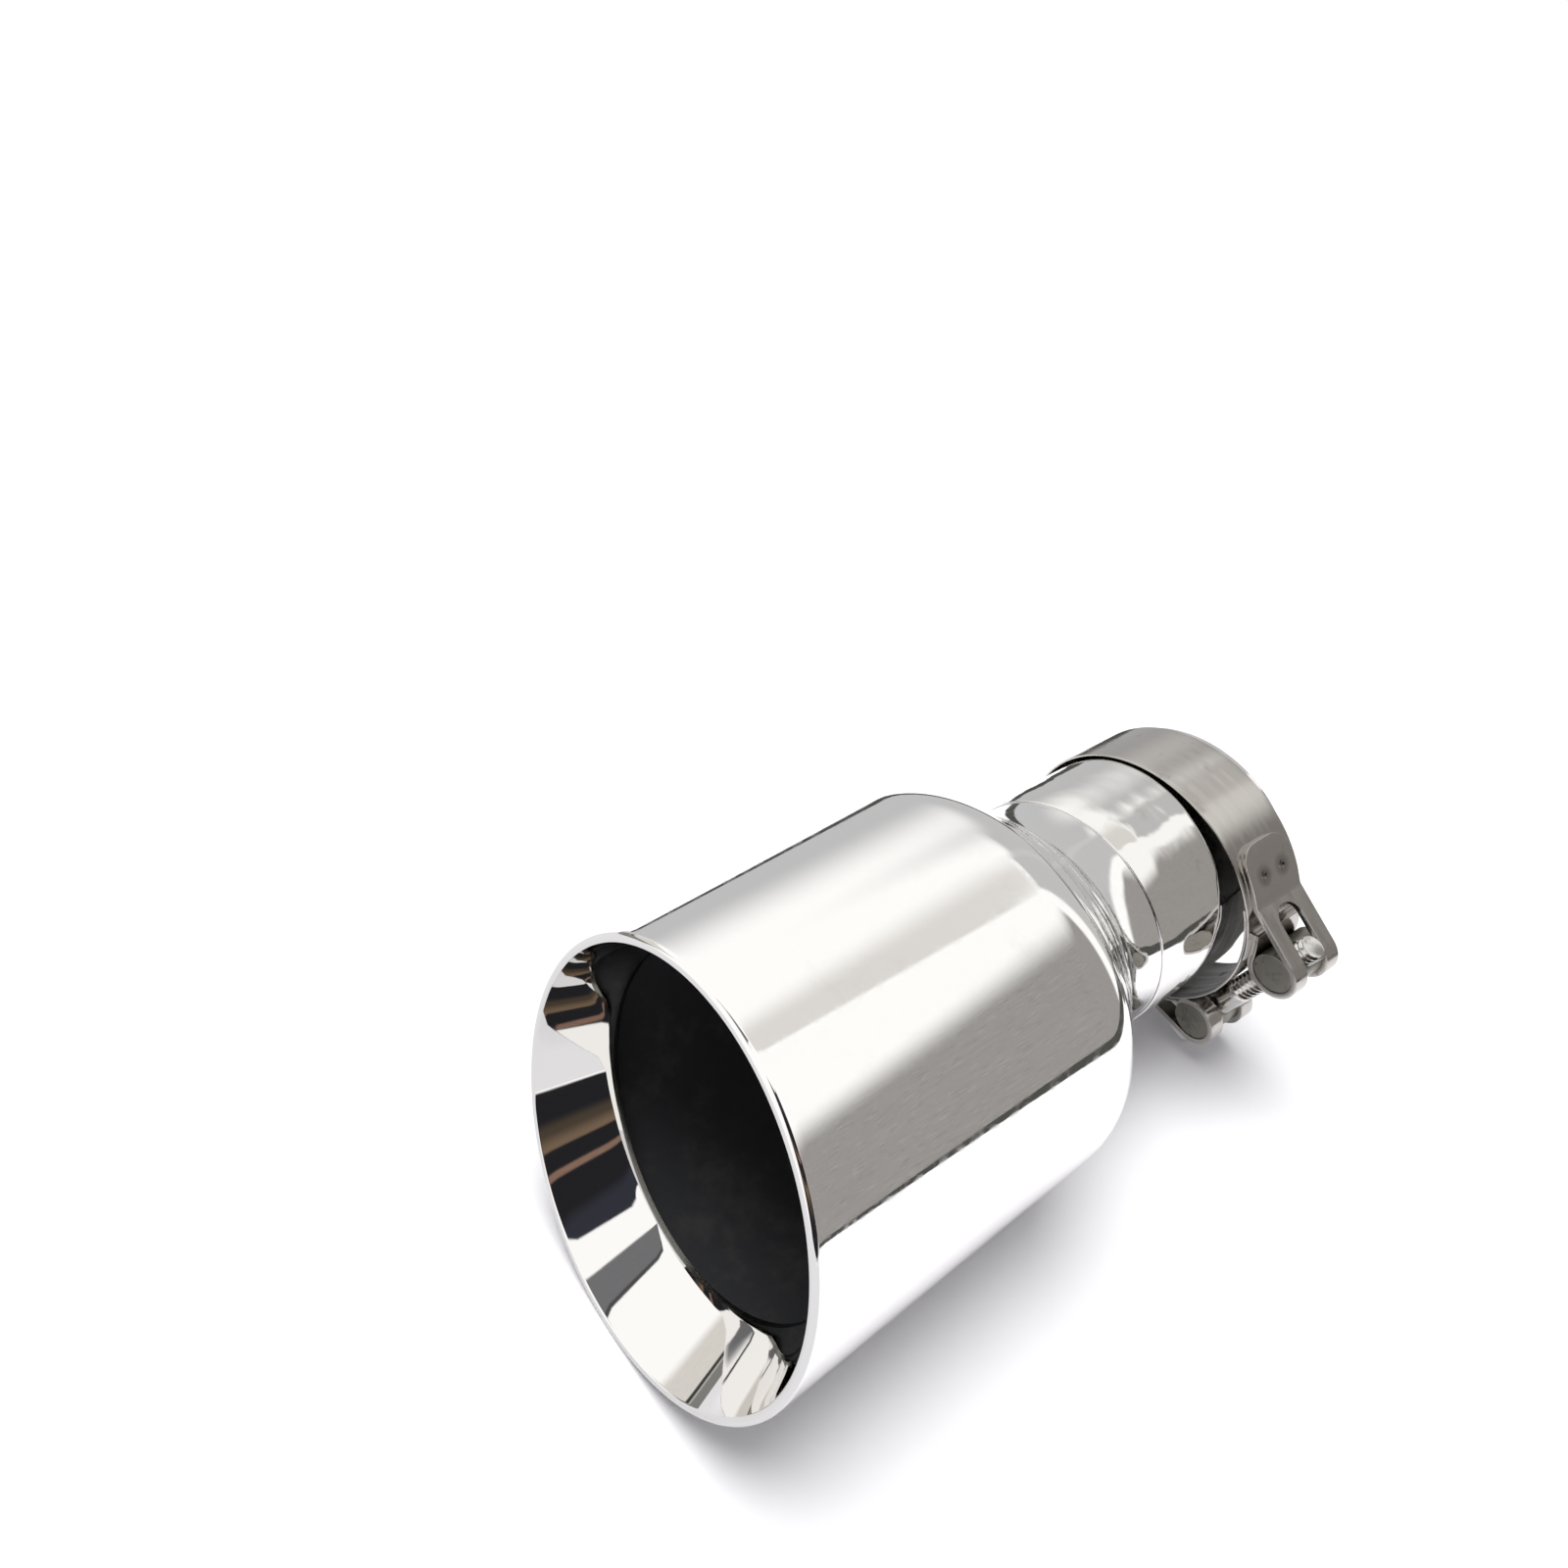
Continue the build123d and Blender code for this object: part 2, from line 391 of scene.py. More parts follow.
class Section:
    """Closed outline of a spun piece's wall, with its corners rounded and its runs divided."""

    ARC_STEP = 6.0

    def __init__(self, corners: Sequence[Corner], step: float, bore_from: int = 0) -> None:
        """Lays out the outline.

        Args:
            corners: The corners in order round the wall.
            step: Longest stretch between two points on a straight run.
            bore_from: Number of the corner from which the outline lies in the bore, or 0.
        """
        self.points: list[tuple[float, float, float, float]] = []
        neighbours = zip([corners[-1], *corners], corners, [*corners[1:], corners[0]])
        stretches = [self._rounded(*three) for three in neighbours]
        for number, (stretch, following) in enumerate(zip(stretches, stretches[1:] + stretches)):
            in_bore = 1.0 if bore_from and number >= bore_from else 0.0
            run = self._divided(stretch[-1], following[0], step)
            self.points += [(*point, in_bore) for point in stretch + run]
        self.points.append(self.points[0])

    def _rounded(self, before: Corner, corner: Corner, after: Corner) -> list[tuple]:
        """Rounds one corner by an arc, where it has a rounding.

        Args:
            before: The corner before it.
            corner: The corner.
            after: The corner after it.

        Returns:
            The points that take the corner's place.
        """
        here = Vector((corner.along, corner.radius))
        if corner.rounding <= 0:
            return [(here.x, here.y, corner.slant)]
        to_before = (Vector((before.along, before.radius)) - here).normalized()
        to_after = (Vector((after.along, after.radius)) - here).normalized()
        opening = to_before.angle(to_after)
        reach = corner.rounding / tan(opening / 2)
        centre = here + (to_before + to_after).normalized() * corner.rounding / sin(opening / 2)
        first = here + to_before * reach - centre
        turn = pi - opening
        side = 1.0 if first.x * to_after.y - first.y * to_after.x > 0 else -1.0
        steps = max(2, ceil(degrees(turn) / self.ARC_STEP))
        angles = [side * turn * number / steps for number in range(steps + 1)]
        arc = [centre + Matrix.Rotation(angle, 2) @ first for angle in angles]
        return [(point.x, point.y, corner.slant) for point in arc]

    @staticmethod
    def _divided(start: tuple, end: tuple, step: float) -> list[tuple]:
        """Divides a straight run.

        Args:
            start: The run's first point.
            end: Its last point.
            step: Longest stretch between two points.

        Returns:
            The points between the two.
        """
        count = max(1, ceil(hypot(end[0] - start[0], end[1] - start[1]) / step))
        shares = [number / count for number in range(1, count)]
        return [tuple(a + (b - a) * share for a, b in zip(start, end)) for share in shares]

    def as_object(self) -> Object:
        """Makes a temporary object that holds the outline's points and their marks.

        Returns:
            The object.
        """
        mesh = bpy.data.meshes.new("section")
        mesh.from_pydata([(along, 0.0, radius) for along, radius, _, _ in self.points], [], [])
        for name, column in (("slant_share", 2), ("in_bore", 3)):
            attribute = mesh.attributes.new(name, "FLOAT", "POINT")
            attribute.data.foreach_set("value", [point[column] for point in self.points])
        return linked("section", mesh)


class ShapeTree:
    """Geometry Nodes tree with named inputs that makes a piece's shape."""

    def __init__(self, name: str, inputs: Sequence[tuple]) -> None:
        """Makes the tree's sockets.

        Args:
            name: Name of the tree.
            inputs: Name, socket type and default value of each input but the geometry.
        """
        self.tree, self.sheet, self.given, self.result = new_group(
            name, "GeometryNodeTree", [("Geometry", GEOMETRY, None), *inputs],
            [("Geometry", GEOMETRY)],
        )

    def grid(self, rows: Socket) -> tuple[Socket, Socket, Socket]:
        """Adds a grid that is to be rolled into a tube.

        Args:
            rows: Number of points along the tube.

        Returns:
            The grid, each point's row, and its share of the way round.
        """
        sheet, segments = self.sheet, self.given["Segments"]
        columns = sheet.total(segments, 1.0)
        grid = sheet.out("GeometryNodeMeshGrid", {"Vertices X": rows, "Vertices Y": columns})
        index = sheet.out("GeometryNodeInputIndex")
        row = sheet.math("FLOOR", sheet.math("DIVIDE", sheet.total(index, 0.5), columns))
        column = sheet.less(index, sheet.product(row, columns))
        return grid, row, sheet.math("DIVIDE", column, segments)

    def round_x(self, radius: Socket, angle: Socket) -> list[Socket]:
        """The two numbers square to X of a point at a radius and an angle."""
        sheet = self.sheet
        return [sheet.product(radius, sheet.math(way, angle)) for way in ("COSINE", "SINE")]

    def finish(self, shape: Socket) -> None:
        """Ends the tree with a shape."""
        self.sheet.feed(self.result.inputs["Geometry"], shape)

    def run(self, source: Object, name: str, values: dict[str, object]) -> Object:
        """Runs the tree on an object as its last modifier.

        Args:
            source: The object, which is removed.
            name: Name of the new object.
            values: The tree's inputs by name.

        Returns:
            The result as a plain mesh object.
        """
        modifier = source.modifiers.new(self.tree.name, "NODES")
        modifier.node_group = self.tree
        for item in self.tree.interface.items_tree:
            if item.name in values:
                modifier[item.identifier] = values[item.name]
        return baked(source, name)


class SpunWall(ShapeTree):
    """Spins a section round the X axis and slants it to the rim."""

    def __init__(self) -> None:
        """Builds the tree."""
        super().__init__("SpunWall", [
            ("Segments", INTEGER, 192),
            ("Start", FLOAT, 0.0),
            ("Sweep", FLOAT, tau),
            ("Slant", FLOAT, 0.0),
            ("Long Side", VECTOR, (0.0, 1.0, 0.0)),
            ("Skin", MATERIAL, None),
            ("Bore", MATERIAL, None),
        ])
        sheet, given = self.sheet, self.given
        rows = sheet.out("GeometryNodeAttributeDomainSize", {"Geometry": given["Geometry"]})
        grid, row, share = self.grid(rows)
        angle = sheet.total(given["Start"], sheet.product(share, given["Sweep"]))
        where = sheet.out("GeometryNodeInputPosition")
        along, _, radius = sheet.separate(self._at_row(row, where, "FLOAT_VECTOR"))
        side, height = self.round_x(radius, angle)
        flat = sheet.combine(0.0, side, height)
        lean = sheet.vector("DOT_PRODUCT", flat, given["Long Side"])
        slant_share = self._at_row(row, self._mark("slant_share"), "FLOAT")
        shift = sheet.product(slant_share, given["Slant"], lean)
        bore_share = self._at_row(row, self._mark("in_bore"), "FLOAT")
        marked = sheet.out("GeometryNodeStoreNamedAttribute",
                           {"Geometry": grid, "Name": "in_bore", "Value": bore_share},
                           data_type="FLOAT")
        in_bore = sheet.math("GREATER_THAN", self._mark("in_bore"), 0.6)
        self.finish(sheet.chain(
            marked,
            ("SetPosition", {"Position": sheet.combine(sheet.total(along, shift), side, height)}),
            ("MergeByDistance", {"Distance": WELD_DISTANCE}),
            ("RealizeInstances", {}),
            ("SetMaterial", {"Material": given["Skin"]}),
            ("SetMaterial", {"Selection": in_bore, "Material": given["Bore"]}),
        ))

    def _mark(self, name: str) -> Socket:
        """A mark that the points carry."""
        return self.sheet.out("GeometryNodeInputNamedAttribute", {"Name": name}, data_type="FLOAT")

    def _at_row(self, row: Socket, value: Socket, data_type: str) -> Socket:
        """Value that the section's point has at a row."""
        inputs = {"Geometry": self.given["Geometry"], "Value": value, "Index": row}
        return self.sheet.out("GeometryNodeSampleIndex", inputs, data_type=data_type)

    def spin(self, name: str, section: Section, skin: Material, bore: Material | None = None,
             segments: int = 192, start: float = 0.0, sweep: float = 360.0, slant: float = 0.0,
             long_side: Sequence[float] = (0.0, 1.0, 0.0), crease_angle: float = 40.0) -> Object:
        """Makes a spun piece as a plain mesh.

        Args:
            name: Name of the piece.
            section: Its wall.
            skin: Material of the wall.
            bore: Material of the part of the wall that is marked as bore.
            segments: Divisions round the axis.
            start: Angle where the wall starts.
            sweep: Angle that the wall covers.
            slant: Slope of the rim.
            long_side: Direction of the rim's long side.
            crease_angle: Turn from which an edge is sharp.

        Returns:
            The piece's object.
        """
        made = self.run(section.as_object(), name, {
            "Segments": segments,
            "Start": radians(start),
            "Sweep": radians(sweep),
            "Slant": slant,
            "Long Side": tuple(long_side),
            "Skin": skin,
            "Bore": bore or skin,
        })
        tidy_mesh(made, crease_angle, fill_ends=sweep < 360.0)
        return made


class BentStrip(ShapeTree):
    """Bends a flat blank along a path, as a strap is formed."""

    def __init__(self) -> None:
        """Builds the tree."""
        super().__init__("BentStrip", [("Path", OBJECT, None), ("Finish", MATERIAL, None)])
        sheet, given = self.sheet, self.given
        path = sheet.add("GeometryNodeObjectInfo", {"Object": given["Path"]})
        where = sheet.out("GeometryNodeInputPosition")
        along, across, through = sheet.separate(where)
        inputs = {"Curves": path.outputs["Geometry"], "Length": along}
        sample = sheet.add("GeometryNodeSampleCurve", inputs, mode="LENGTH").outputs
        outward = sheet.vector("CROSS_PRODUCT", (0.0, 0.0, 1.0), sample["Tangent"])
        moved = sheet.vector("ADD", sample["Position"], sheet.scaled(outward, through))
        position = sheet.vector("ADD", moved, sheet.combine(0.0, 0.0, across))
        self.finish(sheet.chain(
            given["Geometry"],
            ("SetPosition", {"Position": position}),
            ("RealizeInstances", {}),
            ("SetMaterial", {"Material": given["Finish"]}),
        ))


class ThreadedRod(ShapeTree):
    """Makes a round rod with a helical thread and a rounded end."""

    def __init__(self) -> None:
        """Builds the tree."""
        super().__init__("ThreadedRod", [
            ("Length", FLOAT, 0.05),
            ("Crest Radius", FLOAT, 0.0035),
            ("Thread Depth", FLOAT, 0.0006),
            ("Pitch", FLOAT, 0.00125),
            ("Thread Start", FLOAT, 0.02),
            ("End Rounding", FLOAT, 0.001),
            ("Rows", INTEGER, 400),
            ("Segments", INTEGER, 48),
            ("Finish", MATERIAL, None),
        ])
        sheet, given = self.sheet, self.given
        crest, pitch, rounding = given["Crest Radius"], given["Pitch"], given["End Rounding"]
        grid, row, share = self.grid(given["Rows"])
        row_share = sheet.math("DIVIDE", row, sheet.less(given["Rows"], 1.0))
        along = sheet.product(row_share, given["Length"])
        turns = sheet.less(sheet.math("DIVIDE", along, pitch), share)
        flank = sheet.math("ABSOLUTE", sheet.less(sheet.math("FRACT", turns), 0.5))
        groove = sheet.ramp(flank, 0.06, 0.44, 1.0, 0.0, smooth=False)
        runout = sheet.ramp(sheet.less(along, given["Thread Start"]), 0.0, pitch)
        threaded = sheet.less(crest, sheet.product(groove, runout, given["Thread Depth"]))
        to_end = sheet.less(given["Length"], along)
        short = sheet.math("MAXIMUM", sheet.less(rounding, to_end), 0.0)
        square = sheet.less(sheet.product(rounding, rounding), sheet.product(short, short))
        rise = sheet.math("SQRT", sheet.math("MAXIMUM", square, 0.0))
        radius = sheet.math("MINIMUM", threaded, sheet.less(crest, sheet.less(rounding, rise)))
        side, height = self.round_x(radius, sheet.product(share, tau))
        self.finish(sheet.chain(
            grid,
            ("SetPosition", {"Position": sheet.combine(along, side, height)}),
            ("MergeByDistance", {"Distance": WELD_DISTANCE}),
            ("RealizeInstances", {}),
            ("SetMaterial", {"Material": given["Finish"]}),
        ))


class SteelEffects:
    """Shader node groups that the steel finishes share."""

    def __init__(self) -> None:
        """Builds the groups."""
        self.grain = self._grain()
        self.stain = self._stain()
        self.waves = self._waves()

    @staticmethod
    def _started(name: str, values: dict[str, float], *outputs: str) -> tuple:
        """Starts a group that reads a vector and numbers, and puts out numbers.

        Args:
            name: Name of the group.
            values: Default of each number by name.
            outputs: Names of the outputs.

        Returns:
            The tree, a sheet to build on, the given sockets and the output's sockets.
        """
        inputs = [("Vector", VECTOR, None), *((key, FLOAT, values[key]) for key in values)]
        results = [(output, FLOAT) for output in outputs]
        tree, sheet, given, result = new_group(name, "ShaderNodeTree", inputs, results)
        return tree, sheet, given, result.inputs

    def _grain(self) -> bpy.types.NodeTree:
        """Builds fine lines of polishing or brushing, as a value and as a height.

        Returns:
            The group.
        """
        values = {"Along": 60.0, "Across": 4000.0, "Threshold": 0.3}
        tree, sheet, given, result = self._started("PolishingGrain", values, "Lines", "Height")
        scales = (given["Along"], given["Across"], given["Across"])
        parts = zip(sheet.separate(given["Vector"]), scales)
        stretched = sheet.combine(*(sheet.product(part, scale) for part, scale in parts))
        coarse = sheet.noise(stretched, 0.35, 3.0, 0.6)
        full = sheet.total(given["Threshold"], 0.3)
        sheet.feed(result["Lines"], sheet.ramp(coarse, given["Threshold"], full))
        sheet.feed(result["Height"], sheet.noise(stretched, 1.0, 4.0, 0.65))
        return tree

    def _stain(self) -> bpy.types.NodeTree:
        """Builds patches of dulled or dirty metal, as a mask.

        Returns:
            The group.
        """
        values = {"Scale": 90.0, "Cover": 0.5}
        tree, sheet, given, result = self._started("DulledPatches", values, "Mask")
        broad = sheet.noise(given["Vector"], given["Scale"], 3.0, 0.6)
        specks = sheet.noise(given["Vector"], sheet.product(given["Scale"], 6.0), 2.0, 0.7)
        joined = sheet.total(sheet.product(broad, 0.75), sheet.product(specks, 0.25))
        low = sheet.less(0.78, sheet.product(given["Cover"], 0.5))
        sheet.feed(result["Mask"], sheet.ramp(joined, low, sheet.total(low, 0.16)))
        return tree

    def _waves(self) -> bpy.types.NodeTree:
        """Builds the gentle unevenness of pressed or spun metal, as a height.

        Returns:
            The group.
        """
        values = {"Scale": 60.0, "Round Share": 0.35}
        tree, sheet, given, result = self._started("MetalWaves", values, "Height")
        along, side, height = sheet.separate(given["Vector"])
        across = [sheet.product(part, given["Round Share"]) for part in (side, height)]
        squeezed = sheet.combine(along, *across)
        sheet.feed(result["Height"], sheet.noise(squeezed, given["Scale"], 1.5, 0.4))
        return tree


@dataclass(frozen=True)
class SteelFinish:
    """One finish of steel: its colours, gloss, grain, dull patches and unevenness.

    The stronger waves of pressing fade out from press_from to press_to, measured along way.
    Metal before dull_before on the same way is dull, and scorched places take stain_colour.
    """

    name: str
    colour: Colour
    stain_colour: Colour
    roughness: float
    grain_roughness: float
    stain_roughness: float
    stain_scale: float
    stain_cover: float
    grain_along: float
    grain_across: float
    grain_height: float
    wave_scale: float
    wave_height: float
    wave_share: float = 0.35
    grain_threshold: float = 0.3
    press_waves: float = 0.0
    press_from: float = 60.0 * MM
    press_to: float = 76.0 * MM
    way: Triple = (1.0, 0.0, 0.0)
    dull_before: float = -1.0
    dull_colour: Colour = (0.24, 0.24, 0.215)
    dull_roughness: float = 0.16
    scorch_share: float = 0.0

    def material(self, effects: SteelEffects) -> Material:
        """Builds the finish's material.

        Args:
            effects: The shared shader groups.

        Returns:
            The material.
        """
        made, sheet = new_material(self.name)
        spot = sheet.add("ShaderNodeTexCoord").outputs["Object"]
        inputs = {"Vector": spot, "Along": self.grain_along, "Across": self.grain_across,
                  "Threshold": self.grain_threshold}
        grain = sheet.add("ShaderNodeGroup", inputs, node_tree=effects.grain).outputs
        inputs = {"Vector": spot, "Scale": self.stain_scale, "Cover": self.stain_cover}
        stain = sheet.out("ShaderNodeGroup", inputs, node_tree=effects.stain)
        inputs = {"Vector": spot, "Scale": self.wave_scale, "Round Share": self.wave_share}
        waves = sheet.out("ShaderNodeGroup", inputs, node_tree=effects.waves)
        along = sheet.vector("DOT_PRODUCT", spot, self.way)
        dull = sheet.math("LESS_THAN", along, self.dull_before)
        roughness = sheet.total(
            sheet.product(grain["Lines"], self.grain_roughness),
            sheet.product(stain, self.stain_roughness),
            self.roughness,
            sheet.product(dull, self.dull_roughness),
        )
        colour = sheet.mix_colour(stain, self.colour, self.stain_colour)
        colour = sheet.mix_colour(dull, colour, self.dull_colour)
        if self.scorch_share:
            scorch = sheet.add("ShaderNodeAttribute", attribute_name="scorch").outputs["Fac"]
            darkened = sheet.product(scorch, self.scorch_share)
            colour = sheet.mix_colour(darkened, colour, self.stain_colour)
        pressed = sheet.ramp(along, self.press_from, self.press_to, self.press_waves, 0.0)
        wave_height = sheet.total(pressed, self.wave_height)
        bump = sheet.out("ShaderNodeBump",
                         {"Height": waves, "Distance": wave_height, "Strength": 1.0})
        bump = sheet.out("ShaderNodeBump", {"Height": grain["Height"], "Strength": 1.0,
                                            "Distance": self.grain_height, "Normal": bump})
        shader = sheet.out("ShaderNodeBsdfPrincipled", {"Base Color": colour, "Metallic": 1.0,
                                                        "Roughness": roughness, "Normal": bump})
        sheet.add("ShaderNodeOutputMaterial", {"Surface": shader})
        return made


@dataclass(frozen=True)
class BoreShadeFinish:
    """Inside of the tip: dull, and painted near-black as painted shade deep in the bore, with
    mottled patches of a slightly lighter film.
    """

    name: str = "sooty_bore"
    # Near-black colour: painted shade of the bore.
    colour: Colour = (0.045, 0.046, 0.050)
    film_colour: Colour = (0.065, 0.064, 0.066)
    film_scale: float = 40.0
    film_cover: float = 0.6
    roughness: float = 0.55
    film_roughness: float = 0.70
    gloss: float = 0.15

    def material(self, effects: SteelEffects) -> Material:
        """Builds the finish's material.

        Args:
            effects: The shared shader groups.

        Returns:
            The material.
        """
        made, sheet = new_material(self.name)
        spot = sheet.add("ShaderNodeTexCoord").outputs["Object"]
        inputs = {"Vector": spot, "Scale": self.film_scale, "Cover": self.film_cover}
        film = sheet.out("ShaderNodeGroup", inputs, node_tree=effects.stain)
        roughness = sheet.ramp(film, 0.0, 1.0, self.roughness, self.film_roughness)
        colour = sheet.mix_colour(film, self.colour, self.film_colour)
        shader = sheet.out("ShaderNodeBsdfPrincipled",
                           {"Base Color": colour, "Roughness": roughness,
                            "Specular IOR Level": self.gloss})
        sheet.add("ShaderNodeOutputMaterial", {"Surface": shader})
        return made


@dataclass(frozen=True)
class RimCut:
    """Slanted cut of the outlet."""

    middle: float = 195.0 * MM
    lean: float = 11.6
    long_side_angle: float = -75.0

    @property
    def slope(self) -> float:
        """Rise of the cut along the pipe for each metre across it."""
        return tan(radians(self.lean))

    @property
    def long_side(self) -> Vector:
        """Direction of the rim's long side."""
        return round_the_pipe(self.long_side_angle)

    @property
    def depth_way(self) -> Triple:
        """Vector whose dot product with a point is the point's place along the slanted cut."""
        side = self.long_side
        return (1.0, -self.slope * side.y, -self.slope * side.z)


class Finishes:
    """All the materials of the tip and its clamp."""

    def __init__(self) -> None:
        """Builds every material once."""
        effects = SteelEffects()
        cut = RimCut()
        # Painted shade for the inner faces of the shell and the liner.
        self.bore = BoreShadeFinish().material(effects)
        self.polished = SteelFinish(
            "mirror_polished_steel", colour=(0.89, 0.885, 0.88), stain_colour=(0.84, 0.83, 0.82),
            roughness=0.010, grain_roughness=0.09, stain_roughness=0.02,
            stain_scale=30.0, stain_cover=0.35,
            grain_along=1000.0, grain_across=1500.0, grain_height=1.2e-6, grain_threshold=0.36,
            wave_scale=110.0, wave_height=1e-5, press_waves=2.5e-4,
        ).material(effects)
        self.liner = SteelFinish(
            "mirror_polished_liner", colour=(0.87, 0.86, 0.85), stain_colour=(0.80, 0.79, 0.77),
            roughness=0.012, grain_roughness=0.02, stain_roughness=0.03,
            stain_scale=40.0, stain_cover=0.35,
            grain_along=300.0, grain_across=900.0, grain_height=1e-6,
            wave_scale=40.0, wave_height=5e-5,
            way=cut.depth_way, dull_before=cut.middle - 18.8 * MM,
        ).material(effects)
        self.sleeve = SteelFinish(
            "half_polished_sleeve", colour=(0.84, 0.83, 0.815), stain_colour=(0.70, 0.68, 0.66),
            roughness=0.025, grain_roughness=0.05, stain_roughness=0.08,
            stain_scale=90.0, stain_cover=0.4,
            grain_along=900.0, grain_across=160.0, grain_height=2e-6,
            wave_scale=130.0, wave_height=2.7e-4, wave_share=0.6,
        ).material(effects)
        self.band = SteelFinish(
            "satin_band", colour=(0.52, 0.50, 0.475), stain_colour=(0.40, 0.385, 0.36),
            roughness=0.10, grain_roughness=0.10, stain_roughness=0.14,
            stain_scale=80.0, stain_cover=0.45,
            grain_along=1500.0, grain_across=90.0, grain_height=6e-6,
            wave_scale=60.0, wave_height=1e-4,
        ).material(effects)
        # Painted shade: the inner faces of the band and of the bridge plate are painted near-black
        # for the dark gap over the sleeve, with darker random patches.
        self.band_inside_shade = SteelFinish(
            "dull_band_inside", colour=(0.045, 0.044, 0.041), stain_colour=(0.02, 0.02, 0.018),
            roughness=0.34, grain_roughness=0.15, stain_roughness=0.2,
            stain_scale=120.0, stain_cover=0.5,
            grain_along=1500.0, grain_across=90.0, grain_height=6e-6,
            wave_scale=60.0, wave_height=1e-4,
        ).material(effects)
        self.strap = SteelFinish(
            "satin_strap", colour=(0.50, 0.48, 0.455), stain_colour=(0.10, 0.095, 0.085),
            roughness=0.12, grain_roughness=0.12, stain_roughness=0.18,
            stain_scale=190.0, stain_cover=0.35,
            grain_along=1200.0, grain_across=300.0, grain_height=8e-6,
            wave_scale=120.0, wave_height=1.2e-4, scorch_share=0.9,
        ).material(effects)
        self.barrel = SteelFinish(
            "dull_turned_barrel", colour=(0.25, 0.24, 0.21), stain_colour=(0.17, 0.165, 0.145),
            roughness=0.26, grain_roughness=0.12, stain_roughness=0.2,
            stain_scale=160.0, stain_cover=0.5,
            grain_along=800.0, grain_across=800.0, grain_height=8e-6,
            wave_scale=150.0, wave_height=3e-5,
        ).material(effects)
        self.bolt = SteelFinish(
            "bright_bolt", colour=(0.66, 0.65, 0.63), stain_colour=(0.34, 0.32, 0.29),
            roughness=0.10, grain_roughness=0.12, stain_roughness=0.16,
            stain_scale=260.0, stain_cover=0.4,
            grain_along=900.0, grain_across=900.0, grain_height=4e-6,
            wave_scale=150.0, wave_height=3e-5,
        ).material(effects)


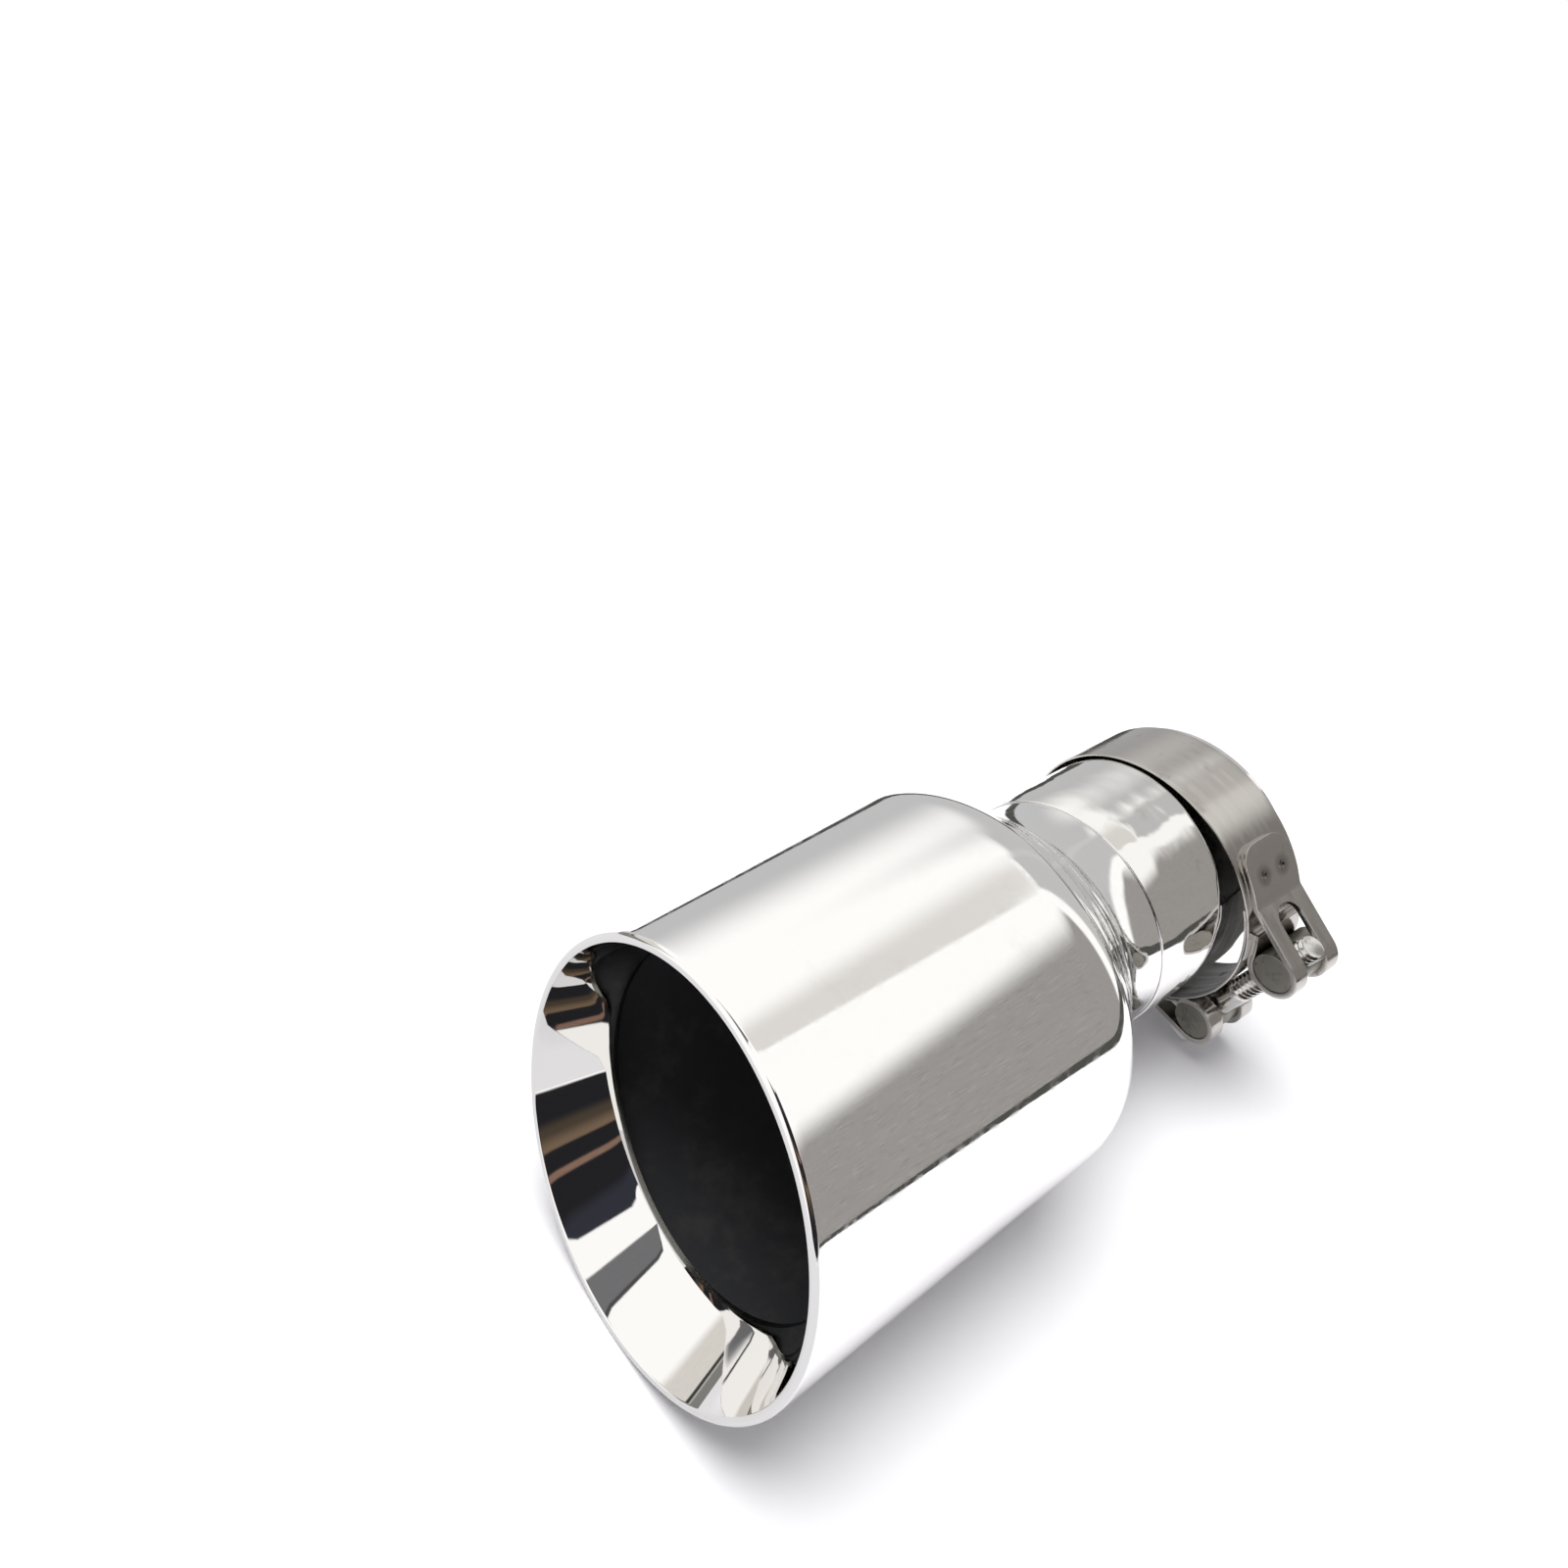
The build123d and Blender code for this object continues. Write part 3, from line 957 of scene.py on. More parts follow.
@dataclass
class TipBody:
    """The shell, the liner at its outlet and the inlet sleeve."""

    wall: SpunWall
    finishes: Finishes
    cut: RimCut = field(default_factory=RimCut)
    outlet_radius: float = 50.8 * MM
    shell_wall: float = 1.3 * MM
    shoulder: float = 97.0 * MM
    shoulder_angle: float = 37.0
    shoulder_round: float = 18.0 * MM
    neck_round: float = 38.0 * MM
    neck_end: float = 48.5 * MM
    neck_end_round: float = 0.2 * MM
    neck_radius: float = 32.3 * MM
    slant_from: float = 112.0 * MM
    rim_outside_share: float = 0.97
    rim_inside: float = 0.8 * MM
    rim_inside_share: float = 0.9
    seat_depth: float = 1.5 * MM
    crease_depth: float = 18.0 * MM
    crease_taper: float = 6.7 * MM
    crease_round: float = 10.0 * MM
    lip_length: float = 2.5 * MM
    lip_turn: float = 0.3 * MM
    lip_round: float = 0.4 * MM
    pipe_radius: float = 31.75 * MM
    sleeve_wall: float = 1.5 * MM
    sleeve_length: float = 58.5 * MM
    sleeve_edge_round: float = 0.3 * MM
    weld_length: float = 6.5 * MM
    weld_round: float = 40.0 * MM
    lap_bore: float = 32.35 * MM
    slot_width: float = 2.5 * MM
    slot_length: float = 20.0 * MM
    slot_arc_step: int = 15
    first_slot_angle: float = 45.0
    slot_count: int = 4
    row_step: float = 2.0 * MM
    segments: int = 256

    def build(self) -> None:
        """Builds the three walls."""
        shell = self.slanted("polished_shell", self.shell_corners(), self.finishes.polished)
        place(shell, TIP_BODY, Slot.POLISHED, "outer_shell")
        liner = self.slanted("outlet_liner_ring", self.liner_corners(), self.finishes.liner, 50.0)
        place(liner, TIP_BODY, Slot.LINER, "outlet_liner")
        place(self.sleeve(), TIP_BODY, Slot.SLEEVE, "inlet_sleeve")

    def slanted(self, name: str, corners: Sequence[Corner], skin: Material,
                crease_angle: float = 40.0) -> Object:
        """Spins a piece that ends at the slanted rim.

        Args:
            name: Name of the piece.
            corners: Its section, which lies in the bore from the sixth corner.
            skin: Material of the part that is not in the bore.
            crease_angle: Turn from which an edge is sharp.

        Returns:
            The piece's object.
        """
        return self.wall.spin(
            name, Section(corners, self.row_step, bore_from=5), skin, self.finishes.bore,
            self.segments, slant=self.cut.slope, long_side=self.cut.long_side,
            crease_angle=crease_angle,
        )

    def shell_corners(self) -> list[Corner]:
        """Lays out the shell, from its neck to the outer half of the rounded rim.

        Returns:
            The corners of its section.
        """
        tangent = tan(radians(self.shoulder_angle))
        inner = self.outlet_radius - self.shell_wall
        inner_neck = self.neck_radius - self.shell_wall
        cone = self.shoulder - (self.outlet_radius - self.neck_radius) / tangent
        inner_corner = self.shoulder + self.shell_wall * tan(radians(self.shoulder_angle / 2))
        inner_cone = inner_corner - (inner - inner_neck) / tangent
        rim = self.cut.middle
        return [
            Corner(self.neck_end, self.neck_radius, self.neck_end_round),
            Corner(cone, self.neck_radius, self.neck_round),
            Corner(self.shoulder, self.outlet_radius, self.shoulder_round),
            Corner(self.slant_from, self.outlet_radius),
            Corner(rim, self.outlet_radius, self.rim_outside_share * self.shell_wall, 1.0),
            Corner(rim, inner, 0.0, 1.0),
            Corner(rim - self.seat_depth, inner, 0.0, 1.0),
            Corner(self.slant_from, inner),
            Corner(inner_corner, inner, self.shoulder_round - self.shell_wall),
            Corner(inner_cone, inner_neck, self.neck_round + self.shell_wall),
            Corner(self.neck_end, inner_neck),
        ]

    def liner_corners(self) -> list[Corner]:
        """Lays out the liner: inner half of the rim, inner wall, crease and lip.

        Returns:
            The corners of its section.
        """
        outer = self.outlet_radius - self.shell_wall
        rim = self.cut.middle
        crease = rim - self.crease_depth
        lip = crease - self.lip_length
        outer_crease = outer - self.crease_taper
        inner_crease = outer_crease - self.shell_wall
        rim_round = self.rim_inside_share * self.rim_inside
        return [
            Corner(rim, outer, 0.0, 1.0),
            Corner(rim, outer - self.rim_inside, rim_round, 1.0),
            Corner(crease, inner_crease, self.crease_round, 1.0),
            Corner(lip, inner_crease - self.lip_turn, self.lip_round, 1.0),
            Corner(lip, outer_crease - self.lip_turn, self.lip_round, 1.0),
            Corner(crease, outer_crease, 0.0, 1.0),
            Corner(rim - self.seat_depth, outer, 0.0, 1.0),
        ]

    def sleeve(self) -> Object:
        """Spins the inlet sleeve and cuts its slots.

        Returns:
            The piece's object.
        """
        outer = self.pipe_radius + self.sleeve_wall
        edge = self.sleeve_edge_round
        corners = [
            Corner(0.0, outer, edge),
            Corner(self.sleeve_length - self.weld_length, outer, self.weld_round),
            Corner(self.sleeve_length, self.lap_bore + edge, edge),
            Corner(self.sleeve_length, self.lap_bore),
            Corner(self.neck_end, self.lap_bore),
            Corner(self.neck_end, self.pipe_radius),
            Corner(0.0, self.pipe_radius, edge),
        ]
        made = self.wall.spin("inlet_sleeve_tube", Section(corners, self.row_step),
                              self.finishes.sleeve, segments=self.segments)
        for number in range(self.slot_count):
            angle = self.first_slot_angle + number * 360.0 / self.slot_count
            made = cut_away(made, self.slot_cutter(angle))
        tidy_mesh(made, 35.0)
        return made

    def slot_cutter(self, angle: float) -> Object:
        """Makes a bar with a round end that cuts one slot.

        Args:
            angle: Where the slot is, round the pipe.

        Returns:
            The cutter's object.
        """
        half = self.slot_width / 2
        end = Vector((self.slot_length - half, 0.0))
        turns = range(-90, 91, self.slot_arc_step)
        outline = [Vector((-self.slot_length, -half)), *(end + polar(half, t) for t in turns),
                   Vector((-self.slot_length, half))]
        outward = round_the_pipe(angle)
        across = X_WAY.cross(outward)
        levels = (0.8 * self.pipe_radius, 1.2 * self.pipe_radius)
        shape = bmesh.new()
        loft(shape, [[X_WAY * p.x + across * p.y + outward * level for p in outline]
                     for level in levels])
        bmesh.ops.recalc_face_normals(shape, faces=shape.faces)
        return drawn("slot_cutter", shape)


@dataclass(frozen=True)
class ClampSizes:
    """Driving sizes of the band clamp."""

    band_width: float = 22.8 * MM
    band_wall: float = 1.0 * MM
    band_inner: float = 36.6 * MM
    band_face: float = 36.9 * MM
    band_edge_share: float = 0.3
    band_step: float = 2.0 * MM
    band_rear: float = 3.0 * MM
    band_segments: int = 224
    sleeve_radius: float = 33.25 * MM
    seat_gap: float = 0.05 * MM
    hang_angle: float = -50.0
    cock_angle: float = 4.5
    gap_angle: float = -24.0
    bridge_wall: float = 0.8 * MM
    bridge_reach: float = 24.0
    bridge_segments: int = 64
    strap_wall: float = 1.5 * MM
    strap_width: float = 18.5 * MM
    strap_edge: float = 0.22 * MM
    tongue_reach: float = 48.0
    lift_reach: float = 25.0
    lift_round: float = 3.0 * MM
    tail_reach: float = 12.0
    tongue_round: float = 6.0 * MM
    slot_half: float = 4.3 * MM
    slot_start: float = 1.5 * MM
    slot_lead: float = 0.6 * MM
    dent_reach: float = 35.0
    dent_offset: float = 3.8 * MM
    dent_radius: float = 1.9 * MM
    dent_depth: float = 0.5 * MM
    scorch_radius: float = 3.4 * MM
    barrel_radius: float = 5.5 * MM
    barrel_length: float = 18.0 * MM
    barrel_spacing: float = 37.8 * MM
    barrel_fit: float = 0.05 * MM
    barrel_edge: float = 0.35 * MM
    barrel_core: float = 0.02 * MM
    bolt_radius: float = 3.5 * MM
    bolt_fit: float = 0.06 * MM
    bolt_reach: float = 8.6 * MM
    bolt_end_round: float = 0.6 * MM
    thread_pitch: float = 1.75 * MM
    thread_depth: float = 0.8 * MM
    thread_length: float = 32.0 * MM
    thread_rows: int = 560
    thread_segments: int = 48
    head_flats: float = 11.0 * MM
    head_height: float = 4.4 * MM
    head_foot: float = 0.25 * MM
    head_sides: float = 3.0 * MM
    head_chamfer: float = 0.9 * MM
    head_segments: int = 96
    head_foot_share: float = 0.96
    head_full_share: float = 1.2
    head_shoulder_share: float = 1.16
    head_face_share: float = 0.97
    head_stand_off: float = 8.9 * MM

    @property
    def strap_middle(self) -> float:
        """Radius of the middle of the strap's wall where it lies on the band."""
        return self.band_inner + self.band_wall + self.strap_wall / 2

    @property
    def loop_middle(self) -> float:
        """Radius of the middle of the strap's wall round the barrel."""
        return self.barrel_radius + self.barrel_fit + self.strap_wall / 2

    @property
    def barrel_centre(self) -> Vector:
        """Middle of the threaded barrel in the clamp's plane."""
        side = self.barrel_spacing / 2
        return Vector((sqrt((self.strap_middle + self.loop_middle) ** 2 - side**2), side))

    @property
    def barrel_angle(self) -> float:
        """Angle of the threaded barrel in the clamp's plane."""
        return degrees(atan2(self.barrel_centre.y, self.barrel_centre.x))


class ClampFrame:
    """Place and directions of the loose clamp on the sleeve."""

    def __init__(self, sizes: ClampSizes) -> None:
        """Works out how the clamp hangs and leans."""
        hang = round_the_pipe(sizes.hang_angle)
        drift = sizes.band_width / 2 * sin(radians(sizes.cock_angle))
        room = sizes.band_inner - sizes.sleeve_radius - sizes.seat_gap
        middle = sizes.band_rear + sizes.band_width / 2
        lean = Matrix.Rotation(radians(sizes.cock_angle), 3, hang)
        self.origin = Vector((middle, 0.0, 0.0)) + hang * sqrt(room**2 - drift**2)
        self.outward = lean @ round_the_pipe(sizes.gap_angle)
        self.along = lean @ X_WAY
        self.bolt_way = self.along.cross(self.outward)

    def _basis(self, spot: Vector, *ways: Vector) -> Matrix:
        """Takes local X, Y and Z to three directions at a point of the clamp's plane."""
        origin = self.origin + self.outward * spot.x + self.bolt_way * spot.y
        return Matrix.Translation(origin) @ Matrix(ways).transposed().to_4x4()

    def round_matrix(self, spot: Vector = Vector((0.0, 0.0))) -> Matrix:
        """Takes a piece spun round X to the clamp's own axis, or to one beside it."""
        return self._basis(spot, self.along, self.outward, self.bolt_way)

    def bolt_matrix(self, spot: Vector) -> Matrix:
        """Takes a piece spun round X to the bolt's axis."""
        return self._basis(spot, self.bolt_way, self.along, self.outward)

    def strap_matrix(self) -> Matrix:
        """Takes a strip bent in the XY plane to the clamp's plane."""
        return self._basis(Vector((0.0, 0.0)), self.outward, self.bolt_way, self.along)


class StrapPath:
    """Middle line of a loop strap's wall, from the tongue's end to the tail's end."""

    STEP = 2.0

    def __init__(self, sizes: ClampSizes) -> None:
        """Lays the path out: tongue, lift, run, loop and tail."""
        middle, lift, loop = sizes.strap_middle, sizes.lift_round, sizes.loop_middle
        angle, barrel = sizes.barrel_angle, sizes.barrel_centre
        lift_angle = angle + sizes.lift_reach
        lift_centre = polar(middle + lift, lift_angle)
        between = barrel - lift_centre
        lean = degrees(asin((lift + loop) / between.length))
        run_angle = degrees(atan2(between.y, between.x)) + lean
        self.points: list[Vector] = []
        self._arc(Vector((0.0, 0.0)), middle, angle + sizes.tongue_reach, lift_angle)
        self._arc(lift_centre, lift, lift_angle + 180.0, run_angle + 270.0)
        lift_end = self.length()
        self._arc(barrel, loop, run_angle + 90.0, angle - 180.0)
        run_end = lift_end + sqrt(between.length_squared - (lift + loop) ** 2)
        self._arc(Vector((0.0, 0.0)), middle, angle, angle + sizes.tail_reach)
        bore = sizes.barrel_radius + sizes.barrel_fit
        slot_turn = run_angle + 270.0 - degrees(acos(sizes.slot_half / bore))
        self.slot_from = lift_end + sizes.slot_start
        self.slot_to = run_end + loop * radians(slot_turn)

    def _arc(self, centre: Vector, radius: float, start: float, end: float) -> None:
        """Adds an arc.

        Args:
            centre: Its centre.
            radius: Its radius.
            start: Angle where it starts.
            end: Angle where it ends.
        """
        steps = max(2, ceil(abs(end - start) / self.STEP))
        angles = [start + (end - start) * number / steps for number in range(steps + 1)]
        arc = [centre + polar(radius, angle) for angle in angles]
        if self.points and (arc[0] - self.points[-1]).length < 10 * WELD_DISTANCE:
            arc = arc[1:]
        self.points += arc

    def length(self) -> float:
        """Length of the path so far."""
        return sum((b - a).length for a, b in zip(self.points, self.points[1:]))

    def as_curve(self) -> Object:
        """Makes a temporary curve object of the path.

        Returns:
            The object.
        """
        curve = bpy.data.curves.new("strap_path", "CURVE")
        curve.dimensions = "3D"
        spline = curve.splines.new("POLY")
        spline.points.add(len(self.points) - 1)
        for slot, point in zip(spline.points, self.points):
            slot.co = (point.x, point.y, 0.0, 1.0)
        return linked("strap_path", curve)


class StrapBlank:
    """Flat blank of a strap: rounded tongue, dents and the bolt's slot, before bending."""

    LANES = 9
    TONGUE_ROWS, LEAD_ROWS, SLOT_ROWS, TAIL_ROWS = 44, 10, 56, 20

    def __init__(self, sizes: ClampSizes, path: StrapPath) -> None:
        """Lays the blank out along the path's length."""
        self.sizes = sizes
        self.path = path
        self.half = sizes.strap_width / 2

    def tongue_start(self, across: float) -> float:
        """Finds where the rounded tongue begins.

        Args:
            across: Distance from the strap's middle.

        Returns:
            The place along the blank.
        """
        rounding = self.sizes.tongue_round
        beyond = max(0.0, abs(across) - (self.half - rounding))
        return rounding - sqrt(max(0.0, rounding**2 - beyond**2))

    def slot_start(self, across: float) -> float:
        """Where the slot's rounded end begins, at a distance from the middle."""
        half = self.sizes.slot_half
        return self.path.slot_from + half - sqrt(half**2 - min(abs(across), half) ** 2)

    def lanes(self) -> list[float]:
        """Lays out the lanes of quads, closest at the slot's sides.

        Returns:
            The places across the blank.
        """
        slot, count = self.sizes.slot_half, self.LANES
        inner = [slot * sin(pi / 2 * step / count) for step in range(-count, count + 1)]
        outer = [slot + (self.half - slot) * step / count for step in range(1, count + 1)]
        return [-value for value in reversed(outer)] + inner + outer

    def as_object(self) -> Object:
        """Makes the blank's middle surface as quads.

        Returns:
            The object.
        """
        path, lanes = self.path, self.lanes()
        slot_side = self.slot_start(self.half)
        before_slot = path.slot_from - self.sizes.slot_lead
        total = path.length()
        stretches: list[tuple[Callable, Callable, int, bool]] = [
            (self.tongue_start, lambda across: before_slot, self.TONGUE_ROWS, False),
            (lambda across: before_slot, self.slot_start, self.LEAD_ROWS, False),
            (lambda across: slot_side, lambda across: path.slot_to, self.SLOT_ROWS, True),
            (lambda across: path.slot_to, lambda across: total, self.TAIL_ROWS, False),
        ]
        shape = bmesh.new()
        for start, end, rows, beside_slot in stretches:
            grid = []
            for row in range(rows + 1):
                line = [start(y) + (end(y) - start(y)) * row / rows for y in lanes]
                grid.append([shape.verts.new((x, y, 0.0)) for x, y in zip(line, lanes)])
            for low, high in zip(grid, grid[1:]):
                for lane in range(len(lanes) - 1):
                    middle = (lanes[lane] + lanes[lane + 1]) / 2
                    if beside_slot and abs(middle) < self.sizes.slot_half:
                        continue
                    shape.faces.new((low[lane], high[lane], high[lane + 1], low[lane + 1]))
        loose = [vertex for vertex in shape.verts if not vertex.link_faces]
        bmesh.ops.delete(shape, geom=loose, context="VERTS")
        bmesh.ops.remove_doubles(shape, verts=shape.verts, dist=WELD_DISTANCE)
        self._dent(shape)
        return drawn("strap_blank", shape)

    def _dent(self, shape: bmesh.types.BMesh) -> None:
        """Presses the spot weld dents into the tongue and marks the scorched metal round them.

        Args:
            shape: The blank.
        """
        sizes = self.sizes
        reach = sizes.strap_middle * radians(sizes.tongue_reach - sizes.dent_reach)
        scorch = shape.verts.layers.float.new("scorch")
        for side in (-sizes.dent_offset, sizes.dent_offset):
            for vertex in shape.verts:
                away = hypot(vertex.co.x - reach, vertex.co.y - side)
                share = min(1.0, away / sizes.dent_radius)
                vertex.co.z -= sizes.dent_depth * (1 - share**2) ** 2
                vertex[scorch] = max(vertex[scorch], 1.0 - away / sizes.scorch_radius)


@dataclass
class BandClamp:
    """The band, its bridge plate, two loop straps, two barrels and the bolt."""

    wall: SpunWall
    strip: BentStrip
    rod: ThreadedRod
    finishes: Finishes
    sizes: ClampSizes = field(default_factory=ClampSizes)

    def __post_init__(self) -> None:
        """Sets the clamp on the sleeve."""
        self.frame = ClampFrame(self.sizes)

    def build(self) -> None:
        """Builds every piece of the clamp."""
        self.build_rings()
        self.build_straps()
        for sign, name in ((1.0, "threaded_barrel"), (-1.0, "plain_barrel")):
            self.build_barrel(sign, name)
        self.build_bolt()

    def ring(self, name: str, inner: float, outer: float, start: float, sweep: float,
             segments: int) -> Object:
        """Makes part of a flat ring as wide as the band, in the clamp's place.

        Args:
            name: Name of the piece.
            inner: Inner radius.
            outer: Outer radius.
            start: Angle where it starts.
            sweep: Angle that it covers.
            segments: Divisions along it.

        Returns:
            The piece's object.
        """
        half = self.sizes.band_width / 2
        edge = self.sizes.band_edge_share * (outer - inner)
        sides = ((-half, outer), (half, outer), (half, inner), (-half, inner))
        corners = [Corner(*side, edge) for side in sides]
        # The inner faces, from the third corner on, take the band's painted-shade material.
        section = Section(corners, self.sizes.band_step, bore_from=2)
        made = self.wall.spin(name, section, self.finishes.band, self.finishes.band_inside_shade,
                              segments, start, sweep, crease_angle=50.0)
        move_mesh(made, self.frame.round_matrix())
        return made

    def build_rings(self) -> None:
        """Builds the band, open under the gap, and the plate that bridges it inside."""
        sizes = self.sizes
        start = sizes.barrel_angle
        outer = sizes.band_inner + sizes.band_wall
        band = self.ring("clamp_band_hoop", sizes.band_face, outer, start, 360.0 - 2 * start,
                         sizes.band_segments)
        place(band, TIP_BODY, Slot.CLAMP, "clamp_band")
        end = start + sizes.bridge_reach
        bridge = self.ring("clamp_bridge_strip", sizes.band_face - sizes.bridge_wall,
                           sizes.band_face, -end, 2 * end, sizes.bridge_segments)
        place(bridge, TIP_BODY, Slot.CLAMP, "bridge_plate")

    def build_straps(self) -> None:
        """Bends one strap, and mirrors it for the other side."""
        path = StrapPath(self.sizes)
        curve = path.as_curve()
        blank = StrapBlank(self.sizes, path).as_object()
        thick = blank.modifiers.new("thickness", "SOLIDIFY")
        thick.thickness = self.sizes.strap_wall
        thick.offset = 0.0
        soft = blank.modifiers.new("edges", "BEVEL")
        soft.width = self.sizes.strap_edge
        soft.segments = 2
        soft.limit_method = "ANGLE"
        soft.angle_limit = radians(50.0)
        values = {"Path": curve, "Finish": self.finishes.strap}
        upper = self.strip.run(blank, "strap_loop_threaded_side", values)
        bpy.data.objects.remove(curve)
        lower = linked("strap_loop_plain_side", upper.data.copy())
        lower.data.transform(Matrix.Diagonal((1.0, -1.0, 1.0, 1.0)))
        for strap, node in ((upper, "threaded_side_strap"), (lower, "plain_side_strap")):
            move_mesh(strap, self.frame.strap_matrix())
            tidy_mesh(strap, 60.0)
            place(strap, TIP_BODY, Slot.CLAMP, node)

    def build_barrel(self, sign: float, node: str) -> None:
        """Builds a cross-drilled barrel.

        Args:
            sign: Side of the gap, 1 for the threaded side and -1 for the plain one.
            node: The CAD node that it stands for.
        """
        sizes = self.sizes
        half, core, skin = sizes.barrel_length / 2, sizes.barrel_core, self.finishes.barrel
        corners = [Corner(-half, core), Corner(-half, sizes.barrel_radius, sizes.barrel_edge),
                   Corner(half, sizes.barrel_radius, sizes.barrel_edge), Corner(half, core)]
        barrel = self.wall.spin(node.replace("_barrel", "_side_barrel"),
                                Section(corners, 1.0 * MM), skin, segments=72)
        bore, reach = sizes.bolt_radius + sizes.bolt_fit, sizes.barrel_length
        corners = [Corner(-reach, 0.0), Corner(-reach, bore), Corner(reach, bore),
                   Corner(reach, 0.0)]
        drill = self.wall.spin("drill", Section(corners, 5.0 * MM), skin, segments=48)
        centre = Vector((sizes.barrel_centre.x, sign * sizes.barrel_centre.y))
        move_mesh(barrel, self.frame.round_matrix(centre))
        move_mesh(drill, self.frame.bolt_matrix(centre))
        barrel = cut_away(barrel, drill)
        tidy_mesh(barrel, 35.0)
        place(barrel, TIP_BODY, Slot.BARREL, node)

    def build_bolt(self) -> None:
        """Builds the bolt: chamfered hexagon head, shank and rolled thread."""
        sizes = self.sizes
        head_at = -sizes.barrel_spacing / 2 - sizes.head_stand_off
        length = sizes.barrel_spacing / 2 + sizes.bolt_reach - head_at
        source = linked("bolt_source", bpy.data.meshes.new("bolt_source"))
        bolt = self.rod.run(source, "clamp_bolt_piece", {
            "Length": length,
            "Crest Radius": sizes.bolt_radius,
            "Thread Depth": sizes.thread_depth,
            "Pitch": sizes.thread_pitch,
            "Thread Start": length - sizes.thread_length,
            "End Rounding": sizes.bolt_end_round,
            "Rows": sizes.thread_rows,
            "Segments": sizes.thread_segments,
            "Finish": self.finishes.bolt,
        })
        self._add_head(bolt)
        move_mesh(bolt, self.frame.bolt_matrix(Vector((sizes.barrel_centre.x, head_at))))
        tidy_mesh(bolt, 32.0, fill_ends=True)
        place(bolt, BOLT_BODY, Slot.BOLT, "clamp_bolt")

    def _add_head(self, bolt: Object) -> None:
        """Adds the head behind the shank, as a closed shape in the same mesh.

        Args:
            bolt: The bolt's object, with its head's underside at X = 0.
        """
        sizes = self.sizes
        flat, chamfer = sizes.head_flats / 2, sizes.head_chamfer
        full, shoulder = sizes.head_full_share * flat, sizes.head_shoulder_share * flat
        face = sizes.head_face_share * flat
        rows = [(0.0, sizes.head_foot_share * flat), (-sizes.head_foot, full)]
        rows += [(-sizes.head_sides * step / 4 - sizes.head_foot, full) for step in range(1, 5)]
        rows += [(chamfer - sizes.head_height - chamfer * step / 6,
                  shoulder - (shoulder - face) * step / 6) for step in range(7)]
        turns = [360.0 * step / sizes.head_segments for step in range(sizes.head_segments)]
        hexagon = [flat / cos(radians((turn + 30.0) % 60.0 - 30.0)) for turn in turns]
        rings = [[Vector((along, *polar(min(radius, limit), turn)))
                  for radius, turn in zip(hexagon, turns)] for along, limit in rows]
        shape = bmesh.new()
        shape.from_mesh(bolt.data)
        loft(shape, rings)
        shape.to_mesh(bolt.data)
        shape.free()


@dataclass(frozen=True)
class RoomPatch:
    """Soft-edged patch of the room that polished metal shows.

    Bearings are from the far side of the scene, positive towards the left of the picture,
    and heights are above the horizon.
    """

    colour: Colour
    bearing: tuple[float, float]
    height: tuple[float, float]
    bearing_soft: tuple[float, float] = (3.0, 3.0)
    height_soft: tuple[float, float] = (3.0, 3.0)
    texture: float = 0.0


